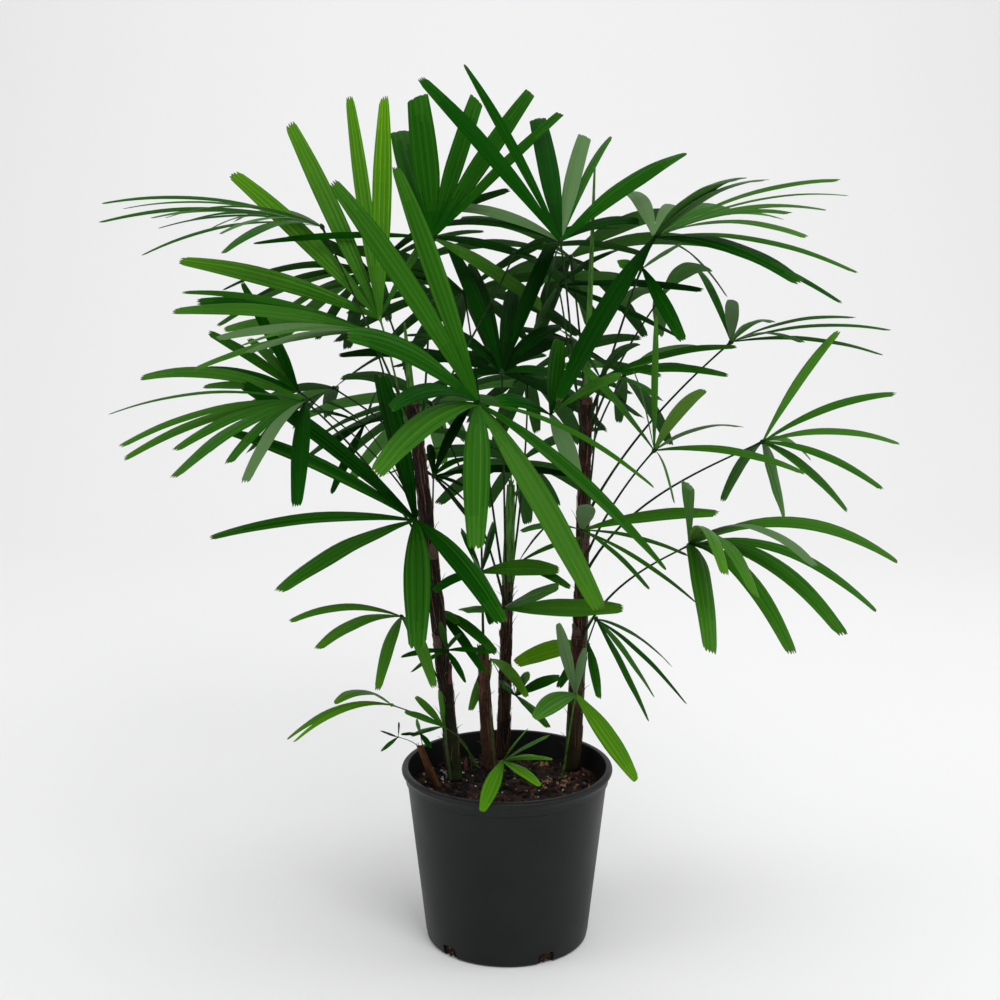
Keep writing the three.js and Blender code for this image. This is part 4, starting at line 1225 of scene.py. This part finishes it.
def leaf_finish(name, colour, roughness, gloss=0.06):
    """One plain green under a satin skin, whose gloss and relief follow the veins."""
    material, shader, wire = new_material(name, roughness, Specular_IOR_Level=gloss, IOR=1.3,
                                          Base_Color=rgba(*colour))
    surface = wire.node("UVMap", {"uv_map": "surface"}, output="UV")
    veins = noise(wire, stretched(wire, surface, (34, 1.2, 1)), 1.0, 3, 0.6)
    cloud = noise(wire, place_wire(wire), 22, 2).step(0.3, 0.7)
    drive(shader, Roughness=roughness - 0.12 + veins * 0.16 + cloud * 0.1,
          Normal=bump(wire, veins + cloud * 0.3, 0.00035, 0.6))
    return material


leaf_materials = []
for step in range(STEPS):
    gloss = 0.05 if step < SHADY_STEPS else 0.1
    leaf_materials.append(leaf_finish(f"leaf_green_{step}", ladder_green(step), 0.42, gloss))
for name, colour in UNDERSIDES.values():
    leaf_materials.append(leaf_finish(f"{name}_underside", colour, 0.55))
# Silver green for PALE leaflets: a pale underside, and painted sheen.
leaf_materials.append(leaf_finish("silver_underside_and_sheen", (0.085, 0.165, 0.06), 0.55))
leaf_materials.append(leaf_finish("dry_tip", (0.1, 0.075, 0.035), 0.7))
print("leaf materials:", len(leaf_materials))

# %% Deal the steps
# Low steps are old fronds, and also the fronds inside and behind the crown, whose darker green is painted
# shade.
FROND_TONES = {  # steps of the ladder, by the last digits of the fronds' names
    1: [14, 31, 40],
    3: [26, 36, 45, 46, 47, 48],
    4: [3, 19, 20, 30, 32, 33, 34, 35, 37, 39, 41, 43, 44],
    5: [2, 13, 22, 25, 42],
    6: [18, 21, 23, 24, 27, 28, 38],
    8: [1, 4, 5, 6, 9, 10, 11, 15, 17],
    10: [16, 29],
    11: [7, 8, 12],
}
STEP_OF = {number: step for step, numbers in FROND_TONES.items() for number in numbers}
# How strongly, by frond, the pleats show their own bands and their painted light and shade.
BAND_AND_PLEAT_LIGHT = {1: 0.8, 2: 1.3, 4: 0.8, 7: 1.1, 8: 1.1, 12: 1.4}  # how strongly a frond's pleats show
PLAIN_BAND_AND_PLEAT_LIGHT = 0.5
# Painted shade near the hub, where the leaflets crowd: the steps a fan's green darkens by there, and how far
# out along the leaflet.
HUB_SHADE_STEPS = {12: (3.4, 0.75)}  # steps that a fan darkens by at its hub, and how far out along the leaflet
PLAIN_HUB_SHADE = (1.7, 0.3)


def leaflet_tones(frond, shade, band_and_pleat_light, share, chance):
    """One step of the ladder for each face: pleats with their own bands and with painted light and shade, a
    root darkened as painted shade, and a yellower end.
    """
    # PALE: silver green on every face, for a pale underside and for painted sheen.
    if shade == PALE:
        return np.full((len(share), len(band_and_pleat_light)), SILVER)
    share, chance = share[:, None], chance[None, :]
    open_pleats = np.clip((share - 0.05) / 0.12, 0, 1)  # near the hub they are still closed
    strength = BAND_AND_PLEAT_LIGHT.get(frond["number"], PLAIN_BAND_AND_PLEAT_LIGHT)
    # Ridges lighter, valleys darker: the leaf's own bands, and painted light and painted shade on the pleats.
    bands_and_pleat_light = np.round(open_pleats * strength * (band_and_pleat_light * 1.1 + 0.9 * chance))
    light_end = share > 0.86 + 0.1 * chance
    deep, out = HUB_SHADE_STEPS.get(frond["number"], PLAIN_HUB_SHADE)
    # Painted shade: the green darkens towards the hub, where the leaflets crowd.
    hub_shade = np.round(deep * np.clip(1 - share / (out + 0.12 * chance), 0, 1))
    step = STEP_OF[frond["number"]] + shade + bands_and_pleat_light + light_end - hub_shade
    tone = np.clip(step, 0, STEPS - 1).astype(int)
    tone[-1] = np.where(chance > 0.35, DRY, tone[-1])
    return tone


# Undersides follow the frond's step, so fronds darkened as painted shade get darker undersides too.
def under_kind(frond, shade):
    if shade == PALE:
        return SILVER
    step = STEP_OF[frond["number"]] + max(shade, 0)
    return STEPS + sum(step >= lowest for lowest in UNDERSIDES) - 1


print("fronds with a step of their own:", len(STEP_OF))


# %% Leaves, joined by where they stand
def add_leaflet(sheaf, frond, i, reach, roll):
    """Lays out one leaflet, gives its strips their greens, and adds it to the sheaf."""
    seed = frond["seed"]
    length = np.linalg.norm(reach)
    width, shade, end = leaflet_marks(frond, i)
    across, height, band_and_pleat_light = pleat_columns(width)
    share = leaflet_shares(length, frond["scale"])
    twist = TWIST * scatter(seed, i + TWISTS)
    centre, along, side, top = leaflet_frame(frond, reach, roll + twist * share * share, share)
    tip = TIP_WIDTH[end] * (1 + 0.2 * scatter(seed, i + TIPS))
    wide = (width * leaflet_width(share, tip))[:, None]
    lift = leaflet_relief(share, across, height, scatter(seed, i + RIPPLES)) * wide
    points = (centre[:, None] + side[:, None] * (wide / 2 * across)[..., None]
              + top[:, None] * lift[..., None])
    chance = np.array([scatter(seed * 31 + i, j + 7) for j in range(len(across))])
    back = cut_back(frond, i, end, across, height, chance)
    points[-1] -= along[-1] * back[:, None]
    points[-2] -= along[-2] * np.maximum(back - 0.02 * length + 1.5, 0)[:, None]
    below = (points - top[:, None] * THICKNESS)[1:-1, 1:-1]
    places = np.stack(np.meshgrid((across + 1) / 2, share), axis=-1)
    upper, under = grid_faces(len(share), len(across))
    tone = leaflet_tones(frond, shade, band_and_pleat_light, (share[1:] + share[:-1]) / 2, chance[:-1])
    sheaf.add(np.concatenate([points.reshape(-1, 3), below.reshape(-1, 3)]), np.concatenate([upper, under]),
              np.concatenate([tone.ravel(), np.full(len(under), under_kind(frond, shade))]),
              np.concatenate([places.reshape(-1, 2), places[1:-1, 1:-1].reshape(-1, 2)]))


YOUNG = (7, 8, 12, 16, 17)
LOWEST_HUBS = {"upper": 790, "middle": 600}  # over these heights a frond is in the upper or the middle group


def leaf_group(frond):
    if frond["number"] in YOUNG:
        return "young"
    for group, lowest in LOWEST_HUBS.items():
        if frond["hub"][2] > lowest:
            return group
    return "lower"


for group in ("upper", "middle", "lower", "young"):
    members = [frond for frond in fronds if leaf_group(frond) == group]
    sheaf = Sheaf()
    for frond in members:
        for i, reach, roll in frond["leaflets"]:
            add_leaflet(sheaf, frond, i, reach, roll)
    piece = sheaf.make(f"leaves_{group}", leaf_materials, 50)
    place_piece(piece, "young_frond" if group == "young" else "frond", *[frond["name"] for frond in members])

# %% [markdown]
# ## Stalks and hubs
#
# Each frond hangs on a thin, wiry stalk, round and smooth, dark green on old fronds. It leaves the cane in a
# short clasp and ends in a small knuckle where the leaflets meet. Curve objects with a round section could
# make them, but a tube from arrays lets the thickness follow a formula, and all of them fit in one mesh. They
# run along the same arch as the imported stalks.


# %% Tubes along a line
def carried_sides(along):
    """Two directions square to a line at each of its points, carried along it without a twist."""
    across = [unit(np.cross(along[0], [0.31, 0.95, 0.12]))]
    for direction in along[1:]:
        across.append(unit(across[-1] - direction * np.dot(across[-1], direction)))
    across = np.array(across)
    return across, np.cross(along, across)


def add_tube(sheaf, line, radii, sides, kind=0):
    """Adds a closed tube along a line. Radii are one for each ring, or one for each point of each ring."""
    line = np.asarray(line, float)
    count = len(line)
    along = unit(np.gradient(line, axis=0))
    across, over = carried_sides(along)
    turn = np.linspace(0, 2 * np.pi, sides, endpoint=False)
    outward = across[:, None] * np.cos(turn)[:, None] + over[:, None] * np.sin(turn)[:, None]
    rings = line[:, None] + outward * np.asarray(radii).reshape(count, -1, 1)
    caps = [line[0] - along[0] * 0.2, line[-1] + along[-1] * 0.2]
    index = np.arange(count * sides).reshape(count, sides)
    beside = np.roll(index, -1, axis=1)
    walls = np.stack([index[:-1], beside[:-1], beside[1:], index[1:]], axis=-1).reshape(-1, 4)
    foot, head = np.full(sides, count * sides), np.full(sides, count * sides + 1)
    ends = np.concatenate([np.stack([foot, beside[0], index[0]], axis=1),
                           np.stack([head, index[-1], beside[-1]], axis=1)])
    around = np.tile(turn / (2 * np.pi), count)
    up = np.repeat(np.linspace(0, 1, count), sides)
    places = np.concatenate([np.stack([around, up], axis=1), [[0.5, 0], [0.5, 1]]])
    sheaf.add_faces(walls, kind)
    sheaf.add(np.concatenate([rings.reshape(-1, 3), caps]), ends, kind, places)


# %% Stalks
STALK_STEPS = 22
STALK_SIDES = 8
KNUCKLE = np.array([1.4, 2.3, 3.1, 3.4, 3.0, 2.0, 0.8])  # radii along the knuckle
KNUCKLE_HALF = 5  # half its length


def stalk_radii(shares):
    """Thicker towards the cane, with a clasp at the foot and a flare just under the knuckle."""
    clasp, flare = 1.6 * np.exp(-shares * 16), 0.9 * np.exp((shares - 1) * 30)
    return 1.15 + 0.6 * (1 - shares) + clasp + flare


def stalk_green(name, dark, light):
    material, shader, wire = new_material(name, 0.5, Specular_IOR_Level=0.12, IOR=1.35)
    streaks = noise(wire, place_wire(wire, (1, 1, 0.15)), 300, 3).step(0.3, 0.7)
    drive(shader, Base_Color=streaks.tint(rgba(*dark), rgba(*light)), Normal=bump(wire, streaks, 0.0003, 0.5))
    return material


stalks = Sheaf()
shares = np.linspace(0, 1, STALK_STEPS)
for frond in fronds:
    young = int(frond["number"] in YOUNG)
    line, _ = stalk_line(frond, *frond["stalk"], shares)
    add_tube(stalks, line, stalk_radii(shares) * frond["scale"], STALK_SIDES, young)
    along = unit(frond["hub"] - line[-2])
    places = np.linspace(-KNUCKLE_HALF, KNUCKLE_HALF, len(KNUCKLE))[:, None]
    knuckle = frond["hub"] + places * along * frond["scale"]
    add_tube(stalks, knuckle, KNUCKLE * frond["scale"], STALK_SIDES, young)
stalk_piece = stalks.make("leaf_stalks", [
    stalk_green("stalk_green", (0.004, 0.013, 0.003), (0.013, 0.045, 0.007)),
    stalk_green("young_stalk_green", (0.03, 0.09, 0.012), (0.09, 0.2, 0.03)),
], 50)
place_piece(stalk_piece, "frond")

# %% [markdown]
# ## Canes
#
# A cane is hidden by what is left of its old leaf sheaths: a mat of coarse brown fibre, a little wider at the
# top of each sheath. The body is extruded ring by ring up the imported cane's own middle line, and a Displace
# modifier whose texture is read through a stretched empty gives the mat its lengthwise relief. A second one
# makes it uneven all round.

# %% Cane bodies
RING_STEP = 4.0
CANE_SIDES = 28
SHEATH = 66  # length of one old sheath
FLARE = 0.12  # how much wider its top is than its foot, as a share


def sheath_swell(height, low, high):
    """How much wider the fibre is at a height: it flares to the top of each sheath and then steps back."""
    count = max(1, round((high - low) / SHEATH))
    place = (height - low) / (high - low) * count
    within = min(place - math.floor(place), 0.999) if height < high else 1.0
    return 1 + FLARE * within ** 1.5


def cane_radius(cane, height):
    heights, _, radii = CANES[cane]
    low, high = heights[0], heights[-1]
    head = radii[-1] / (1 + FLARE)
    return (radii[0] + (head - radii[0]) * (height - low) / (high - low)) * sheath_swell(height, low, high)


def make_cane(cane):
    low, high = CANES[cane][0][[0, -1]]
    levels = np.linspace(low, high, int((high - low) / RING_STEP) + 1)
    rings = [(cane_middle_at(cane, level), cane_radius(cane, level)) for level in levels]
    return extrude_rings(f"{cane}_bark", rings, CANE_SIDES)


def draw_fibres(piece, size, depth, stretch):
    """Displaces a piece by clouds that are drawn out upwards, as fibres are."""
    bpy.ops.object.empty_add(location=(0, 0, 0))
    ruler = bpy.context.object
    ruler.scale = (1, 1, stretch)
    bpy.context.view_layer.update()
    relief = add_relief(piece, size, depth, detail=2, middle=0.55)
    relief.texture_coords = "OBJECT"
    relief.texture_coords_object = ruler
    apply_modifiers(piece)
    bpy.data.objects.remove(ruler)


# %% Fibre finish
GREEN_FOOT = rgba(0.022, 0.042, 0.009)
FOOT_TOP = (0.25, 0.36)  # heights in metres between which the green of a cane's foot fades


def fibre_bark(name, dark, light, moss):
    """Matted brown fibre with rough cross threads, green towards the cane's foot."""
    material, shader, wire = new_material(name, 0.9, Specular_IOR_Level=0.2, IOR=1.35)
    fibres = noise(wire, place_wire(wire, (1, 1, 0.08)), 800, 4, 0.65).step(0.3, 0.72)
    threads = noise(wire, place_wire(wire, (0.3, 0.3, 1)), 520, 3, 0.6).step(0.4, 0.75)
    blotch = noise(wire, place_wire(wire, (1, 1, 0.4)), 55, 3).step(0.38, 0.68)
    height = wire.node("SeparateXYZ", None, {"Vector": place_wire(wire)}, output=2)
    low = (1 - height.step(*FOOT_TOP)) * (0.35 + blotch * 0.65)
    brown = (fibres * 0.28 + threads * 0.37 + blotch * 0.35).tint(rgba(*dark), rgba(*light))
    drive(shader, Base_Color=(low * moss).tint(brown, GREEN_FOOT),
          Normal=bump(wire, fibres + threads * 0.8 + blotch * 0.6, 0.0011, 0.9))
    return material


BARK = {  # dark and light brown, and how green the foot is
    "cane_left": [(0.003, 0.0025, 0.002), (0.036, 0.022, 0.017), 0.95],
    "cane_right": [(0.008, 0.0035, 0.003), (0.1, 0.036, 0.029), 0.75],
    "cane_middle": [(0.026, 0.009, 0.007), (0.19, 0.072, 0.052), 0.35],
    "cane_rear": [(0.005, 0.003, 0.0025), (0.06, 0.024, 0.016), 0.2],
    "shoot": [(0.08, 0.024, 0.01), (0.36, 0.11, 0.045), 0.7],
}
for cane, (dark, light, moss) in BARK.items():
    fibre_depth, lump_depth = (0.5, 0.4) if cane == "shoot" else (1.3, 1.0)
    piece = make_cane(cane)
    draw_fibres(piece, 2.4, fibre_depth, 7)
    add_relief(piece, 9, lump_depth)
    apply_modifiers(piece)
    bpy.ops.object.shade_smooth()
    piece.data.materials.append(fibre_bark(f"{cane}_fibre", dark, light, moss))
    place_piece(piece, "shoot" if cane == "shoot" else "cane", cane)
    print(piece.name, len(piece.data.polygons), "faces")

# %% [markdown]
# ## Hairs and torn sheaths
#
# Loose fibres lie wound about the canes and a few stick out, torn sheaths stand off as reddish flaps, and low
# down some sheaths of living leaves are still green. All of these follow a cane, so one helper gives a point
# beside it. Hairs are tubes of four sides, and a sheath is a closed grid like a leaflet's.

# %% Hairs
HAIRS = {"cane_left": 260, "cane_right": 260, "cane_middle": 110, "cane_rear": 140, "shoot": 12}
HAIR_RADII = np.array([0.35, 0.42, 0.4, 0.36, 0.3, 0.14])
STRAY = 0.16  # share of the hairs that stick out
RED_HAIRS = 0.35  # share of the hairs that are red


def beside_cane(cane, height, turn, stand):
    """The point that stands some way off a cane's fibre at a height and a bearing."""
    radius = cane_radius(cane, min(height, CANES[cane][0][-1])) + stand
    return cane_middle_at(cane, height) + radius * np.array([math.cos(turn), math.sin(turn), 0])


def add_hair(sheaf, cane):
    """One hair, wound about the cane or sticking out."""
    foot, head = CANES[cane][0][[0, -1]]
    start = rng.uniform(foot + 6, head - 4)
    length = rng.uniform(14, 46)
    bearing = rng.uniform(0, 2 * np.pi)
    wind = rng.normal(0, 0.35)
    stray = rng.random() < STRAY
    line = []
    for share in np.linspace(0, 1, len(HAIR_RADII)):
        height = min(start + length * share * (0.45 if stray else 1), head + 3)
        stand = 0.2 + (8.0 * share ** 2.2 if stray else 0.3)
        line.append(beside_cane(cane, height, bearing + wind * share, stand))
    add_tube(sheaf, line, HAIR_RADII, 4, int(rng.random() < RED_HAIRS))


rng = np.random.default_rng(11)
hairs = Sheaf()
for cane, count in HAIRS.items():
    for _ in range(count):
        add_hair(hairs, cane)
hair_piece = hairs.make("cane_hairs", [
    flat_material("dark_hair", (0.05, 0.028, 0.018), 0.85),
    flat_material("red_hair", (0.16, 0.075, 0.04), 0.8),
], 50)
place_piece(hair_piece, "cane")

# %% Torn sheaths
FLAP_ROWS, FLAP_COLUMNS = 7, 9
FLAP_THICKNESS = 0.7
FLAPS = {"cane_left": 7, "cane_right": 7, "cane_middle": 3, "cane_rear": 4}
FLAPS_FROM = 300  # lower down the torn sheaths have fallen off
FLAPS_BELOW_HEAD = 14
FLAP_WIDTH = 1.9  # in radians round the cane
FLAP_STAND = 1.6
GREEN_SHEATHS = [  # cane, lowest point, length, bearing and width: sheaths of leaves that are still alive
    ("cane_right", 296, 150, -20, 0.9),
    ("cane_right", 214, 90, -155, 0.5),
    ("cane_middle", 214, 110, -50, 0.45),
    ("cane_left", 214, 95, -125, 0.5),
    ("cane_rear", 330, 90, 120, 0.8),
]
GREEN_STAND = 0.6


def add_flap(sheaf, cane, low, tall, bearing, wide, stand, kind):
    """A torn sheath that hugs the cane, stands off a little at its top and ends in ragged fibres."""
    points = np.empty((FLAP_ROWS, FLAP_COLUMNS, 3))
    outward = np.empty_like(points)
    for r, share in enumerate(np.linspace(0, 1, FLAP_ROWS)):
        middle = cane_middle_at(cane, low + tall * share)
        for c, place in enumerate(np.linspace(-0.5, 0.5, FLAP_COLUMNS)):
            ragged = tall * (share + 0.3 * share ** 3 * scatter(c, int(low)))
            height = min(low + ragged, CANES[cane][0][-1] + 4)
            turn = bearing + wide * (1 - 0.35 * share ** 2) * place
            off = 0.2 + 0.5 * math.cos(place * math.pi) + stand * share ** 2
            points[r, c] = beside_cane(cane, height, turn, off)
            outward[r, c] = (points[r, c] - middle) * [1, 1, 0]
    below = (points - unit(outward) * FLAP_THICKNESS)[1:-1, 1:-1]
    upper, under = grid_faces(FLAP_ROWS, FLAP_COLUMNS)
    faces = np.concatenate([upper[:, ::-1], under[:, ::-1]])
    sheaf.add(np.concatenate([points.reshape(-1, 3), below.reshape(-1, 3)]), faces, kind)


flaps = Sheaf()
for cane, count in FLAPS.items():
    highest = CANES[cane][0][-1] - FLAPS_BELOW_HEAD
    for k in range(count):
        low = highest - (highest - FLAPS_FROM) * (k + 0.3 * scatter(k, 3)) / count
        tall = 22 + 7 * scatter(k, 5)
        bearing = math.radians(-100 + 137 * k + 20 * scatter(k, 9))
        add_flap(flaps, cane, low, tall, bearing, FLAP_WIDTH, FLAP_STAND, k % 2)
for cane, low, tall, bearing, wide in GREEN_SHEATHS:
    add_flap(flaps, cane, low, tall, math.radians(bearing), wide, GREEN_STAND, 2)
flap_piece = flaps.make("sheath_flaps", [
    flat_material("red_sheath", (0.075, 0.028, 0.018), 0.8),
    flat_material("tan_sheath", (0.075, 0.045, 0.032), 0.8),
    flat_material("green_sheath", (0.04, 0.085, 0.018), 0.6),
], 50)
place_piece(flap_piece, "cane")

# %% [markdown]
# ## Rolled spears
#
# A new frond stands straight up from the head of its cane, folded like a closed fan. Its section is a ring of
# small folds, so each spear is a tapered tube whose rings alternate between ridge and furrow. The rear one
# has begun to open, and its first tips are thin tubes that lean out of its head.

# %% Spears
SPEARS = {"spear_left": (5.0, 1.3), "spear_right": (4.6, 1.3), "spear_rear": (8.5, 5.5)}  # foot, head radii
SPEAR_STEPS, SPEAR_SIDES = 24, 14
FURROW = 0.72  # radius of a furrow, as a share of that of a ridge
OPENING = [(1.0, -3.0, 12), (1.0, 0.5, 16), (1.0, 4.0, 10), (0.86, 13.0, 20)]  # height share, reach, rise
TIP_STEPS = 6
TIP_RADII = 2.6 - 2.0 * np.linspace(0, 1, TIP_STEPS)


def spear_ends(name):
    """Middles of a packed spear's foot and head."""
    points = packed_points(name)
    heights = points[:, 2]
    return points[heights < heights.min() + 0.1].mean(0), points[heights > heights.max() - 0.1].mean(0)


def add_spear(sheaf, foot, head, foot_radius, head_radius):
    shares = np.linspace(0, 1, SPEAR_STEPS)[:, None]
    radii = foot_radius + (head_radius - foot_radius) * shares ** 1.5
    fold = np.where(np.arange(SPEAR_SIDES) % 2 == 0, 1.0, FURROW)
    add_tube(sheaf, foot + (head - foot) * shares, radii * fold, SPEAR_SIDES)


def add_opening_tip(sheaf, foot, head, share, reach, rise):
    """The tip of a leaflet that has come free of its spear at a share of its height."""
    start = foot + (head - foot) * share - [0, 0, 3]
    line = start + np.array([reach, 0, rise]) * np.linspace(0, 1, TIP_STEPS)[:, None]
    add_tube(sheaf, line, TIP_RADII, STALK_SIDES)


spears = Sheaf()
for name, radii in SPEARS.items():
    add_spear(spears, *spear_ends(name), *radii)
for share, reach, rise in OPENING:
    add_opening_tip(spears, *spear_ends("spear_rear"), share, reach, rise)
spear_green = stalk_green("spear_green", (0.02, 0.07, 0.01), (0.07, 0.18, 0.03))
spear_piece = spears.make("rolled_spears", [spear_green], 30)
place_piece(spear_piece, "spear", *SPEARS)

# %% [markdown]
# ## Size
#
# The dressed plant is measured, and its size is printed.

# %% Measure and finish
low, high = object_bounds()
print("dressed model:", [round(b - a, 3) for a, b in zip(low, high)], "m")
